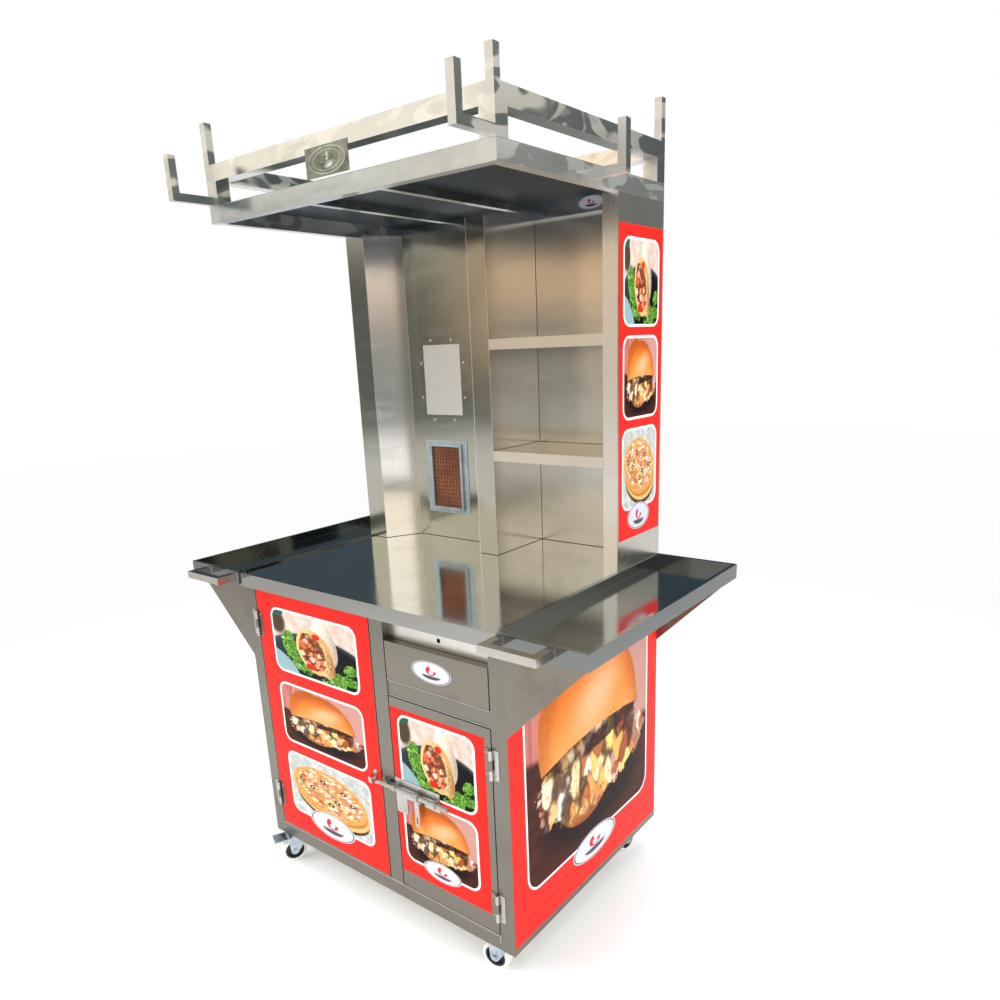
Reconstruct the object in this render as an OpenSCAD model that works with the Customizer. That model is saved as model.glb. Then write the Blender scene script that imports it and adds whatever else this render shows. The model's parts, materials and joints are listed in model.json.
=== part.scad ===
/* [Cabinet] */
// Width of the cabinet, side panel to side panel
body_w = 914; // [780:1:1100]
// Depth of the cabinet, front face to back face
body_d = 714; // [600:1:860]
// Height of the counter above the floor
counter_h = 927; // [860:1:1115]
// Thickness of the folded stainless sheet
sheet = 1.5; // [1:0.1:2]
// Side of the square tubes in the cabinet frame
tube = 40; // [34:1:46]
// Wall of every square tube
tube_wall = 1.5; // [1:0.1:2]
// Width of the post between the left door and the right door
stile_w = 46; // [40:1:56]
// Distance of that post's left face from the cabinet's middle
stile_x = 44; // [20:1:60]
// Space left at a weld between two tubes
weld_gap = 0.1; // [0.05:0.01:0.2]

/* [Doors and drawer] */
// Gap round each door and the drawer front
reveal = 3; // [2:0.5:5]
// Depth of the folded edge of a door or drawer front
door_t = 20; // [15:1:26]
// Top of the drawer front, below the counter
drawer_top = 93; // [85:1:110]
// Height of the drawer front
drawer_h = 100; // [85:1:130]
// Depth of the drawer box
drawer_depth = 540; // [420:1:560]
// Wall of the drawer box
drawer_wall = 1.2; // [1:0.1:2]
// Width of the square lock hole above the drawer
lock_hole = 10; // [8:1:14]
// Thickness of the printed film on doors and sides
film = 0.4; // [0.3:0.1:0.6]
// Radius of a hinge barrel
knuckle_r = 5; // [4.5:0.1:6]
// Radius of a hinge pin
pin_r = 2.5; // [2:0.1:3]
// Height of one hinge
hinge_h = 75; // [60:1:90]
// Radial clearance of pins and axles in their holes
fit_gap = 0.06; // [0.03:0.01:0.09]

/* [Bolt] */
// Radius of the sliding bolt
bolt_r = 6; // [5:0.5:7]
// Distance of the bolt's axis in front of the doors
bolt_out = 13; // [12:0.5:16]
// Height of the bolt's axis, below the counter
bolt_drop = 487; // [470:1:500]
// Length of the bolt
bolt_len = 236; // [233:1:250]
// Length of the hasp below the bolt's axis
hasp_len = 84; // [70:1:95]

/* [Counter and trays] */
// Distance by which the counter's apron stands out of the front
apron_out = 15; // [10:1:20]
// Height of the counter's apron
apron_h = 38; // [30:1:40]
// Width of a side tray
tray_w = 225; // [180:1:270]
// Height of a tray's rim, underside to top
rim_h = 38; // [32:1:46]
// Width of a tray's folded rim
rim_w = 10; // [8:1:14]
// Height of the rim's top above the counter
rim_up = 5; // [4:0.5:8]
// Depth of the tray below its rim
tray_depth = 26; // [20:1:28]
// Distance by which a tray stands out of the front
tray_out = 20; // [16:1:26]
// Side of the triangular gussets under the trays
gusset = 218; // [150:1:230]
// Thickness of a gusset
gusset_t = 2; // [1.5:0.5:3]
// Side of the thin square tube in handles, hooks and uprights
thin_tube = 19; // [16:1:22]
// Width of a push handle
handle_w = 146; // [110:1:160]
// Distance of a push handle's front from the tray
handle_out = 64; // [55:1:90]

/* [Upper structure] */
// Clear height from the counter to the canopy
upper_h = 902; // [760:1:1080]
// Depth of the burner and shelf structure
upper_d = 227; // [200:1:260]
// Width of the flat strip left of the burner bay
flange_w = 72; // [60:1:85]
// Sideways run of each slanted reflector face
slant_w = 57; // [40:1:70]
// Depth of the burner bay
bay_depth = 102; // [85:1:115]
// Width of the strip between burner bay and shelves
strip_w = 61.5; // [50:0.5:70]
// Distance of that strip's left edge from the middle
strip_x = 5; // [-20:1:20]
// Height of the lower shelf's top above the counter
low_shelf = 299; // [260:1:340]
// Height of the upper shelf's top above the counter
high_shelf = 596; // [540:1:660]
// Height of a shelf's folded front edge
shelf_lip = 28; // [22:1:34]

/* [Burner] */
// Width of the burner's flange
burner_w = 168; // [150:1:190]
// Height of the burner's flange
burner_h = 225; // [200:1:250]
// Height of the burner's lower edge above the counter
burner_z = 81; // [60:1:100]
// Width of the burner's window
window_w = 112; // [96:1:122]
// Height of the burner's window
window_h = 188; // [160:1:192]
// Width of the second, closed opening
blank_w = 144; // [130:1:150]
// Height of the second, closed opening
blank_h = 205; // [180:1:220]
// Height of the closed opening's lower edge above the counter
blank_z = 383; // [370:1:420]
// Radius of the hose nipple
nipple_r = 5; // [4:0.5:6]

/* [Canopy and roof rack] */
// Setback of the canopy and rack from the cabinet's front
canopy_back = 43; // [20:1:70]
// Height of the canopy's edge tube
fascia_h = 39; // [34:1:46]
// Depth of the canopy's edge tube
fascia_d = 25; // [20:1:30]
// Side of the square tubes in the roof rack
rack_tube = 38; // [32:1:42]
// Clear height between the roof and the rack's rail
rack_gap = 54; // [40:1:70]
// Height of the corner uprights above the rail
upright_h = 95; // [70:1:120]
// Height of the shorter front right upright
short_upright = 60; // [40:1:69]
// Distance of the front hooks' tips from the rack
hook_reach = 109; // [80:1:115]
// Distance of the right hook's tip from the canopy
side_reach = 109; // [80:1:115]
// Height of a hook
hook_h = 101; // [80:1:120]
// Distance of the right hook from the canopy's front
side_hook_y = 292; // [200:1:450]
// Width of the name plate
plate_w = 138; // [110:1:160]
// Height of the name plate
plate_h = 61; // [56:1:70]

/* [Casters] */
// Height of a caster, floor to cabinet
caster_h = 100; // [98:1:110]
// Radius of a wheel
wheel_r = 37.5; // [34:0.5:38]
// Width of a tyre
tyre_w = 26; // [22:1:28]
// Radius of a wheel's axle
axle_r = 4; // [3.5:0.5:5]
// Distance of the axle behind the swivel axis
trail = 30; // [24:1:32]
// Distance of a swivel axis from the cabinet's side
swivel_x = 58; // [54:1:70]
// Distance of a swivel axis from the cabinet's front or back
swivel_y = 45; // [42:1:60]

/* [Hidden] */
half_w = body_w / 2;
cab_z = caster_h;                              // underside of the cabinet
top_z = counter_h;                             // working surface
under_top = top_z - sheet;
front_reach = tray_out + handle_out;           // handles ahead of the cabinet's front
front_y = -(body_d - front_reach) / 2;         // cabinet's front in the part's own frame
rail_top = cab_z + tube;
top_rail_z = under_top - tube;
post_x = half_w - sheet - tube;                // inner face of a corner post
back_y = body_d - sheet;                       // front face of the back panels
cut = 1;                                       // overrun of a cutting shape

// doors and drawer
stile_r = stile_x + stile_w;
door_z = rail_top + reveal;
left_door_x = -post_x + reveal;
left_door_w = stile_x - reveal - left_door_x;
left_door_h = top_rail_z - reveal - door_z;
bay_x = stile_r + reveal;
bay_w = post_x - reveal - bay_x;
front_z = top_z - drawer_top - drawer_h;       // lower edge of the drawer front
cross_rail_z = front_z - reveal - tube;
right_door_h = cross_rail_z - reveal - door_z;
film_edge = 1.5;                               // bare edge left round a film
right_film_side = 18;
right_film_top = 26;
right_film_foot = 52;
bay_mid = (stile_r + post_x) / 2;
runner_w = 14;
runner_h = 40;
runner_in = 5;                                 // clearance of the drawer's rails
recess_y = door_t + 2;
box_gap = 4;
box_x = stile_r + runner_w + 1;
box_w = post_x - runner_w - 1 - box_x;
box_top = top_z - drawer_top - 8;
box_h = drawer_h - 16;
slide_z = box_top - box_h / 2;
side_film_top = rim_h;
side_film_foot = 18;
upper_film_foot = 84;
upper_film_top = 64;

// hinges
hinge_y = -knuckle_r - 0.6;
leaf_w = 20;
leaf_t = 1.5;
knuckle_gap = 0.4;
left_hinge_x = -post_x + reveal / 2;
right_hinge_x = post_x - reveal / 2;
left_hinges = [door_z + 62, top_z - 181];
right_hinges = [door_z + 41, top_z - 362];

// bolt
bolt_z = top_z - bolt_drop;
bolt_y = -bolt_out;
bolt_tip = stile_x - 1;
bolt_throw = 31;
guide_w = 10;
guide_r = bolt_r + 2.5;
latch_t = 2;
latch_x = bay_x + 1;
latch_w = 151;
latch_h = 52;
latch_foot_w = 38;
latch_foot_h = 46;
keeper_x = bolt_tip - bolt_throw + 2;
keeper_w = 12;
saddle_w = 12;
saddle_gap = 0.3;
hasp_x = latch_x + 74;
hasp_w = 16;
hasp_t = 3;
slot_r = 3.2;
slot_l = 20;

// upper structure
upper_y = body_d - upper_d;                    // front plane of the upper structure
bay_y = upper_y + bay_depth;
canopy_z = top_z + upper_h;
flange_x = -half_w + flange_w;
bay_left = flange_x + slant_w;
bay_right = strip_x - slant_w;
strip_r = strip_x + strip_w;
burner_x = (bay_left + bay_right) / 2 - 7;
aperture = 9;                                  // flange overlap round the burner opening
rim_t = 8;
rim_out = 8;                                   // burner rim ahead of the reflector
tile_t = 13;
mesh_wire = 1.2;
mesh_pitch = 12;
housing_d = 60;
venturi_r = 14;
valve_z = top_z + 30;
valve_y = bay_y + sheet + housing_d / 2 + 4;
valve_r = 11;
stem_r = 3;
knob_r = 17;
knob_y = valve_y + 26;
knob_d = 16;
nipple_l = 26;
valve_arm = 40;                                // from the cock to its hose end

// canopy and rack
roof_z = canopy_z + fascia_h;
rack_z = roof_z + sheet;
rail_z = rack_z + rack_gap;
rack_top = rail_z + rack_tube;
member = 20;
members_x = [-190, 50];                        // left faces of the cross members
hook_x = half_w - thin_tube;
hook_z = rack_z + 1;
side_hook_z = canopy_z;
plate_z = rack_z + 4;
plate_t = 1.6;
plate_x = -3;

// casters: corners front left, front right, rear left, rear right, and where each wheel points
corner_signs = [[-1, -1], [1, -1], [-1, 1], [1, 1]];
wheel_dirs = [244, 188, 256, 262];
plate_l = 95;
plate_d = 67;
caster_plate_t = 3;
race_r = 24;
race_h = 8;
swivel_gap = 0.3;
king_r = 6;
crown_t = 4;
crown_z = cab_z - caster_plate_t - race_h - swivel_gap - crown_t;
fork_in = tyre_w / 2 + 2;
fork_t = 2.5;
hub_r = wheel_r - 9;
hub_w = tyre_w + 1.6;
pedal_u = trail + 11;
pedal_z = wheel_r * 2 + 5.5;
pedal_r = 2.5;
pedal_l = 46;
pedal_w = 44;
pedal_t = 3;

// from the cabinet's own corner to the part's frame
module seat() {
    translate([0, front_y, 0]) children();
}

module both_sides() {
    children();
    mirror([1, 0, 0]) children();
}

module block(at, size) {
    translate(at) cube(size);
}

// hollow square tube along one axis; shut at both ends, its near end is a plate of its own
module tube_along(axis, at, size, near = false, far = false) {
    plated = near && far;
    start = [for (k = [0:2]) k == axis && plated ? tube_wall + weld_gap : 0];
    lo = [for (k = [0:2]) k != axis || (near && !far) ? tube_wall : -cut];
    hi = [for (k = [0:2]) size[k] + (k == axis && !far ? cut : -tube_wall)];
    translate(at) {
        difference() {
            translate(start) cube(size - start);
            translate(lo) cube(hi - lo);
        }
        if (plated) cube([for (k = [0:2]) k == axis ? tube_wall : size[k]]);
    }
}

// outline of a sheet of thickness t folded along a path, thickness to the path's left
function left_of(v) = [-v[1], v[0]] / norm(v);
function side_at(p, i) = left_of(p[i + 1] - p[i]);
function corner_shift(a, b) = (a + b) / (1 + a * b);
function shift_at(p, i) =
    corner_shift(side_at(p, max(i - 1, 0)), side_at(p, min(i, len(p) - 2)));
function folded(p, t) =
    concat(p, [for (i = [len(p) - 1:-1:0]) p[i] + t * shift_at(p, i)]);

// sheet folded in plan and standing up
module standing_sheet(path, z, h) {
    translate([0, 0, z]) linear_extrude(h) polygon(folded(path, sheet));
}

// sheet folded in side view, path given as depth and height
module lying_sheet(path, x, w) {
    translate([x, 0, 0]) rotate([90, 0, 90]) linear_extrude(w) polygon(folded(path, sheet));
}

// plate cut to an outline given as width and height, from y to y + t
module upright_plate(y, t) {
    translate([0, y + t, 0]) rotate([90, 0, 0]) linear_extrude(t) children();
}

// shallow box open at the back, as a folded door or drawer front
module pan(at, w, d, h) {
    translate(at) difference() {
        cube([w, d, h]);
        translate([sheet, sheet, sheet]) cube([w - 2 * sheet, d, h - 2 * sheet]);
    }
}

// ---- cabinet ----
module base_frame() {
    rear_tube_y = back_y - tube;
    side_l = rear_tube_y - tube - 2 * weld_gap;
    front_l = 2 * post_x - 2 * weld_gap;
    color("silver") seat() {
        for (y = [0, rear_tube_y], x = [-post_x - tube, post_x])
            tube_along(2, [x, y, cab_z], [tube, tube, under_top - cab_z]);
        for (z = [cab_z, top_rail_z], y = [0, rear_tube_y])
            tube_along(0, [-post_x + weld_gap, y, z], [front_l, tube, tube]);
        for (z = [cab_z, top_rail_z], x = [-post_x - tube, post_x])
            tube_along(1, [x, tube + weld_gap, z], [tube, side_l, tube]);
        tube_along(2, [stile_x, 0, rail_top + weld_gap],
            [stile_w, tube, top_rail_z - rail_top - 2 * weld_gap]);
        tube_along(0, [stile_r + weld_gap, 2 * sheet, cross_rail_z],
            [post_x - stile_r - 2 * weld_gap, tube, tube]);
    }
}

module floor_sheet() {
    notch = tube + sheet + weld_gap;
    y0 = door_t + 2 * reveal;
    color("lightgray") seat() difference() {
        block([-half_w + sheet, y0, rail_top], [2 * (half_w - sheet), back_y - y0, sheet]);
        for (s = [-1, 1], y = [y0 - cut, back_y - notch + sheet])
            block([s * half_w - (s > 0 ? notch : 0), y, rail_top - cut],
                [notch, y < tube ? tube + weld_gap - y0 + cut : notch, sheet + 2 * cut]);
        block([stile_x - weld_gap, y0 - cut, rail_top - cut],
            [stile_w + 2 * weld_gap, tube + weld_gap - y0 + cut, sheet + 2 * cut]);
    }
}

module back_panel() {
    color("silver") seat() block([-half_w, back_y, cab_z], [body_w, sheet, under_top - cab_z]);
}

module side_panels() {
    color("silver") seat() both_sides()
        block([half_w - sheet, 0, cab_z], [sheet, back_y, under_top - cab_z]);
}

module partition() {
    y0 = tube + weld_gap;
    color("lightgray") seat() difference() {
        block([stile_r - sheet, y0, rail_top + sheet],
            [sheet, back_y - y0, under_top - rail_top - sheet]);
        block([stile_r - sheet - cut, back_y - tube - weld_gap, top_rail_z - weld_gap],
            [sheet + 2 * cut, tube + cut, tube + cut]);
    }
}

module lock_panel() {
    low = top_z - drawer_top - box_gap;
    color("silver") seat() difference() {
        block([stile_r + weld_gap, recess_y, low],
            [post_x - stile_r - 2 * weld_gap, sheet, top_rail_z - low]);
        block([bay_mid - lock_hole / 2, recess_y - cut, (low + top_rail_z) / 2 - lock_hole / 2],
            [lock_hole, sheet + 2 * cut, lock_hole]);
    }
}

// channels that carry the drawer, open towards it
module drawer_runners() {
    y0 = recess_y;
    rear = back_y - tube - y0;
    color("gainsboro") seat()
        for (s = [0, 1]) translate([2 * bay_mid * s, 0, 0]) mirror([s, 0, 0])
            difference() {
                block([stile_r + weld_gap, y0, slide_z - runner_h / 2], [runner_w, rear, runner_h]);
                block([stile_r + 2 * sheet, y0 - cut, slide_z - runner_h / 2 + sheet],
                    [runner_w, rear + 2 * cut, runner_h - 2 * sheet]);
            }
}

module drawer_box() {
    rail_h = runner_h - 2 * sheet - 2 * runner_in;
    y0 = door_t;
    inner = box_w - 2 * drawer_wall;
    color("lightgray") seat() {
        difference() {
            block([box_x, y0, box_top - box_h], [box_w, drawer_depth, box_h]);
            block([box_x + drawer_wall, y0 + drawer_wall, box_top - box_h + drawer_wall],
                [inner, drawer_depth - 2 * drawer_wall, box_h]);
        }
        for (s = [0, 1]) translate([2 * bay_mid * s, 0, 0]) mirror([s, 0, 0])
            block([stile_r + runner_in, y0, slide_z - rail_h / 2],
                [box_x - stile_r - runner_in, drawer_depth, rail_h]);
    }
}

module drawer_front() {
    color("silver") seat() pan([bay_x, 0, front_z], bay_w, door_t, drawer_h);
}

// ---- doors ----
module hinge_pair(xs, zs, side) {
    for (z = zs) translate([xs, 0, z]) mirror([side > 0 ? 0 : 1, 0, 0]) children();
}

module barrel(z, h) {
    translate([0, hinge_y, z]) cylinder(h = h, r = knuckle_r, $fn = 40);
}

module fixed_leaf() {
    third = hinge_h / 3;
    block([-leaf_w, -leaf_t, 0], [leaf_w - knuckle_r - knuckle_gap, leaf_t, hinge_h]);
    for (z = [0, 2 * third]) {
        block([-knuckle_r - 2 * knuckle_gap, -leaf_t, z],
            [knuckle_r + 2 * knuckle_gap, leaf_t, third - knuckle_gap]);
        barrel(z, third - knuckle_gap);
    }
    translate([0, hinge_y, 1]) cylinder(h = hinge_h - 2, r = pin_r, $fn = 32);
}

module moving_leaf(lift) {
    third = hinge_h / 3;
    difference() {
        union() {
            block([knuckle_r + knuckle_gap, -leaf_t - lift, 0],
                [leaf_w - knuckle_r - knuckle_gap, leaf_t, hinge_h]);
            block([0, -leaf_t - lift, third], [knuckle_r + 1, leaf_t, third - knuckle_gap]);
            barrel(third, third - knuckle_gap);
        }
        translate([0, hinge_y, third - cut])
            cylinder(h = third + 2 * cut, r = pin_r + fit_gap, $fn = 32);
    }
}

// hinge halves on the frame
module door_fittings() {
    color("gray") seat() {
        hinge_pair(left_hinge_x, left_hinges, 1) fixed_leaf();
        hinge_pair(right_hinge_x, right_hinges, -1) fixed_leaf();
    }
}

// square passage for the bolt, a little larger than it
module bolt_slot(x, w, y, d) {
    half = bolt_r + saddle_gap;
    block([x - cut, y, bolt_z - half], [w + 2 * cut, d, 2 * half]);
}

// open fork on the middle post that steadies the bolt
module bolt_saddle() {
    x = stile_x + stile_w / 2 - saddle_w / 2;
    color("gainsboro") seat() difference() {
        block([x, bolt_y, bolt_z - guide_r], [saddle_w, -bolt_y, 2 * guide_r]);
        bolt_slot(x, saddle_w, bolt_y - cut, bolt_r + saddle_gap + cut);
    }
}

module left_door_panel() {
    color("silver") seat() {
        pan([left_door_x, 0, door_z], left_door_w, door_t, left_door_h);
        hinge_pair(left_hinge_x, left_hinges, 1) moving_leaf(film);
    }
}

module left_door_film() {
    color("tomato") seat()
        block([left_door_x + film_edge, -film, door_z + 2 * film_edge],
            [left_door_w - 2 * film_edge, film, left_door_h - 3 * film_edge]);
}

module right_door_panel() {
    color("silver") seat() {
        pan([bay_x, 0, door_z], bay_w, door_t, right_door_h);
        hinge_pair(right_hinge_x, right_hinges, -1) moving_leaf(0);
    }
}

module right_door_film() {
    color("tomato") seat()
        block([bay_x + film_edge / 2, -film, door_z + right_film_foot - reveal],
            [bay_w - right_film_side - film_edge, film,
                right_door_h - right_film_foot - right_film_top + reveal]);
}

// block round the bolt, from a face at y back to the bolt's axis
module bolt_loop(x, y, w, bore_r) {
    difference() {
        union() {
            block([x, bolt_y, bolt_z - guide_r], [w, y - bolt_y, 2 * guide_r]);
            translate([x, bolt_y, bolt_z]) rotate([0, 90, 0])
                cylinder(h = w, r = guide_r, $fn = 48);
        }
        translate([x - cut, bolt_y, bolt_z]) rotate([0, 90, 0])
            cylinder(h = w + 2 * cut, r = bore_r, $fn = 48);
    }
}

module bolt_keeper() {
    foot_t = 1;
    color("gainsboro") seat() {
        difference() {
            block([keeper_x, bolt_y - guide_r, bolt_z - guide_r],
                [keeper_w, guide_r - bolt_y - film, 2 * guide_r]);
            bolt_slot(keeper_x, keeper_w, bolt_y - bolt_r - saddle_gap, 2 * bolt_r + 2 * saddle_gap);
        }
        for (z = [bolt_z + guide_r, bolt_z - guide_r - keeper_w])
            block([keeper_x, -film - foot_t, z], [keeper_w, foot_t, keeper_w]);
    }
}

module latch_plate() {
    y0 = -film - latch_t;
    color("gray") seat() {
        upright_plate(y0, latch_t) union() {
            translate([latch_x, bolt_z - latch_h / 2]) square([latch_w, latch_h]);
            translate([latch_x, bolt_z - latch_h / 2 - latch_foot_h])
                square([latch_foot_w, latch_foot_h + cut]);
        }
        for (x = [latch_x + 2, latch_x + latch_w - guide_w - 2])
            bolt_loop(x, y0, guide_w, bolt_r + fit_gap);
    }
}

module bolt_rod() {
    nose = 2;
    color("whitesmoke") seat() translate([bolt_tip, bolt_y, bolt_z]) rotate([0, 90, 0]) {
        cylinder(h = nose, r1 = bolt_r - nose, r2 = bolt_r, $fn = 48);
        translate([0, 0, nose]) cylinder(h = bolt_len - nose, r = bolt_r, $fn = 48);
    }
}

module bolt_hasp() {
    collar_r = bolt_r + 4;
    tail_z = bolt_z - hasp_len + hasp_w / 2;
    mid_x = hasp_x + hasp_w / 2;
    color("lightgray") seat() difference() {
        union() {
            translate([hasp_x, bolt_y, bolt_z]) rotate([0, 90, 0])
                cylinder(h = hasp_w, r = collar_r, $fn = 48);
            upright_plate(bolt_y - hasp_t / 2, hasp_t) union() {
                translate([hasp_x, tail_z]) square([hasp_w, bolt_z - tail_z]);
                translate([mid_x, tail_z]) circle(r = hasp_w / 2, $fn = 48);
            }
        }
        translate([hasp_x - cut, bolt_y, bolt_z]) rotate([0, 90, 0])
            cylinder(h = hasp_w + 2 * cut, r = bolt_r + fit_gap, $fn = 48);
        upright_plate(bolt_y - hasp_t / 2 - cut, hasp_t + 2 * cut) union() {
            translate([mid_x - slot_r, tail_z + slot_r]) square([2 * slot_r, slot_l - 2 * slot_r]);
            for (z = [slot_r, slot_l - slot_r])
                translate([mid_x, tail_z + z]) circle(r = slot_r, $fn = 32);
        }
    }
}

// ---- counter, trays and handles ----
module countertop() {
    hem = 9;
    color("whitesmoke") seat() lying_sheet([[body_d, top_z], [-apron_out, top_z],
        [-apron_out, top_z - apron_h], [hem - apron_out, top_z - apron_h]], -half_w, body_w);
}

// right-hand tray: floor, three hollow rims and a lip on the counter
module tray() {
    low = top_z + rim_up - rim_h;
    high = top_z + rim_up;
    out_x = half_w + tray_w;
    long = body_d + tray_out;
    wall = 2 * sheet;
    pan_z = high - tray_depth;
    hem = rim_w - 2 * sheet;
    hem_h = rim_h - sheet + cut;
    difference() {
        block([half_w, -tray_out, low], [tray_w, long, rim_h]);
        block([half_w + wall, rim_w - tray_out, pan_z],
            [tray_w - wall - rim_w, long - 2 * rim_w, rim_h]);
        block([half_w + sheet, sheet - tray_out, low - cut],
            [tray_w - 2 * sheet, long - 2 * sheet, pan_z - sheet - low + cut]);
        block([out_x - sheet - hem, sheet - tray_out, low - cut], [hem, long - 2 * sheet, hem_h]);
        for (y = [sheet - tray_out, body_d - sheet - hem])
            block([half_w + wall, y, low - cut], [tray_w - wall - sheet, hem, hem_h]);
    }
    block([half_w - rim_w, 0, top_z], [rim_w + cut, upper_y - weld_gap, rim_up]);
}

module tray_right() {
    color("lightgray") seat() tray();
}

module tray_left() {
    color("lightgray") seat() mirror([1, 0, 0]) tray();
}

module gussets() {
    low = top_z + rim_up - rim_h;
    color("silver") seat() both_sides()
        for (y = [0, body_d - gusset_t])
            upright_plate(y, gusset_t)
                polygon([[half_w, low], [half_w + gusset, low], [half_w, low - gusset]]);
}

module push_handles() {
    z = top_z - thin_tube;
    leg = handle_out - thin_tube - weld_gap;
    color("silver") seat() both_sides() {
        tube_along(0, [half_w, -front_reach, z], [handle_w, thin_tube, thin_tube], true, true);
        for (x = [half_w, half_w + handle_w - thin_tube])
            tube_along(1, [x, -tray_out - leg, z], [thin_tube, leg, thin_tube]);
    }
}

// ---- upper structure ----
module upper_posts() {
    front = upper_y + sheet;
    rear = back_y - tube;
    color("silver") seat() {
        tube_along(2, [post_x, upper_y, top_z], [tube, tube, upper_h]);
        tube_along(2, [post_x, rear, top_z], [tube, tube, upper_h]);
        tube_along(2, [-post_x - tube, front, top_z], [tube, tube, upper_h]);
        tube_along(2, [-post_x - tube, rear, top_z], [tube, tube, upper_h]);
        for (y = [front, rear])
            tube_along(2, [strip_r - sheet - tube, y, top_z], [tube, tube, upper_h]);
    }
}

module upper_side_panels() {
    color("silver") seat() {
        block([half_w - sheet, upper_y, top_z], [sheet, back_y - upper_y, upper_h]);
        block([-half_w, upper_y + sheet, top_z], [sheet, back_y - upper_y - sheet, upper_h]);
    }
}

module upper_back() {
    color("silver") seat()
        block([strip_r - sheet - tube, back_y, top_z],
            [half_w - strip_r + sheet + tube, sheet, upper_h]);
}

// one sheet folded round the burner bay, with the burner's and the spare opening
module reflector() {
    burner_hole = [burner_w - 2 * aperture, burner_h - 2 * aperture];
    color("silver") seat() difference() {
        standing_sheet([[-half_w, upper_y], [flange_x, upper_y], [bay_left, bay_y],
            [bay_right, bay_y], [strip_x - sheet - weld_gap, upper_y]], top_z, upper_h);
        block([burner_x - burner_hole[0] / 2, bay_y - cut, top_z + burner_z + aperture],
            [burner_hole[0], sheet + 2 * cut, burner_hole[1]]);
        block([burner_x - blank_w / 2, bay_y - cut, top_z + blank_z],
            [blank_w, sheet + 2 * cut, blank_h]);
    }
}

module shelf_strip() {
    color("silver") seat()
        standing_sheet([[strip_x, upper_y], [strip_r, upper_y], [strip_r, back_y]], top_z, upper_h);
}

module shelves() {
    gap = weld_gap;
    left = strip_r + gap;
    color("lightgray") seat() for (z = [low_shelf, high_shelf]) {
        translate([0, 0, top_z + z - sheet]) linear_extrude(sheet)
            polygon([[left, upper_y], [post_x - gap, upper_y], [post_x - gap, upper_y + tube + gap],
                [half_w - sheet - gap, upper_y + tube + gap], [half_w - sheet - gap, back_y - tube - gap],
                [post_x - gap, back_y - tube - gap], [post_x - gap, back_y - gap], [left, back_y - gap]]);
        block([left, upper_y, top_z + z - shelf_lip], [post_x - left - gap, sheet, shelf_lip]);
    }
}

module blank_plate() {
    edge = 8;
    color("lightgray") seat()
        block([burner_x - blank_w / 2 - edge, bay_y + sheet, top_z + blank_z - edge],
            [blank_w + 2 * edge, sheet, blank_h + 2 * edge]);
}

// ---- burner and gas ----
module window_block(w, h, y, t) {
    mid_z = top_z + burner_z + burner_h / 2;
    block([burner_x - w / 2, y, mid_z - h / 2], [w, t, h]);
}

module burner_frame() {
    color("lightsteelblue") seat() difference() {
        union() {
            window_block(burner_w, burner_h, bay_y - sheet, sheet);
            window_block(window_w + 2 * rim_t, window_h + 2 * rim_t, bay_y - rim_out, rim_out);
        }
        window_block(window_w, window_h, bay_y - rim_out - cut, rim_out + 2 * cut);
    }
}

module burner_tile() {
    edge = aperture + sheet;
    color("sienna") seat()
        window_block(burner_w - 2 * edge, burner_h - 2 * edge, bay_y, tile_t);
}

module burner_mesh() {
    y0 = bay_y - rim_out / 2;
    base_z = top_z + burner_z + (burner_h - window_h) / 2;
    color("dimgray") seat() {
        for (x = [mesh_pitch / 2:mesh_pitch:window_w - mesh_wire])
            block([burner_x - window_w / 2 + x, y0, base_z], [mesh_wire, mesh_wire, window_h]);
        for (z = [mesh_pitch / 2:mesh_pitch:window_h - mesh_wire])
            block([burner_x - window_w / 2, y0, base_z + z], [window_w, mesh_wire, mesh_wire]);
    }
}

// gas box behind the tile with its mixing tube
module burner_housing() {
    y0 = bay_y + sheet;
    w = burner_w - 2 * aperture;
    h = burner_h - 2 * aperture;
    foot = top_z + burner_z + aperture;
    mouth = top_z + 52;
    color("darkgray") seat() difference() {
        union() {
            window_block(w, h, y0, housing_d);
            translate([burner_x, valve_y, mouth])
                cylinder(h = foot - mouth + sheet, r = venturi_r, $fn = 48);
        }
        window_block(w - 2 * sheet, h - 2 * sheet, y0 - cut, housing_d - sheet + cut);
        translate([burner_x, valve_y, mouth - cut])
            cylinder(h = foot - mouth + 3 * sheet + cut, r = venturi_r - sheet, $fn = 48);
    }
}

// cock with its bracket, injector, stem and side arm, and the hose end that points back
module gas_valve() {
    inlet_r = nipple_r + 3;
    nut_l = 9;
    injector_h = 30;
    color("goldenrod") seat() {
        block([burner_x - nipple_r, bay_y + sheet, valve_z - nipple_r],
            [2 * nipple_r, valve_y - bay_y - sheet, 2 * nipple_r]);
        translate([burner_x, valve_y, valve_z]) {
            translate([0, 0, -valve_r]) cylinder(h = 2 * valve_r, r = valve_r, $fn = 48);
            cylinder(h = injector_h, r = nipple_r - 1, $fn = 32);
            rotate([-90, 0, 0]) cylinder(h = knob_y - valve_y - 1, r = nipple_r + 2, $fn = 32);
            rotate([-90, 0, 0])
                cylinder(h = knob_y - valve_y + knob_d / 2, r = stem_r, $fn = 32);
            rotate([0, -90, 0]) cylinder(h = valve_arm, r = inlet_r - 2, $fn = 32);
            translate([-valve_arm, 0, 0]) cube(2 * inlet_r, center = true);
            translate([-valve_arm, 0, 0]) rotate([-90, 0, 0])
                cylinder(h = inlet_r + 1, r = inlet_r - 1, $fn = 40);
            translate([-valve_arm, inlet_r + 1 + weld_gap, 0]) rotate([-90, 0, 0]) {
                cylinder(h = nut_l, r = inlet_r, $fn = 6);
                translate([0, 0, nut_l]) cylinder(h = nipple_l, r = nipple_r, $fn = 40);
            }
        }
    }
}

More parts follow.
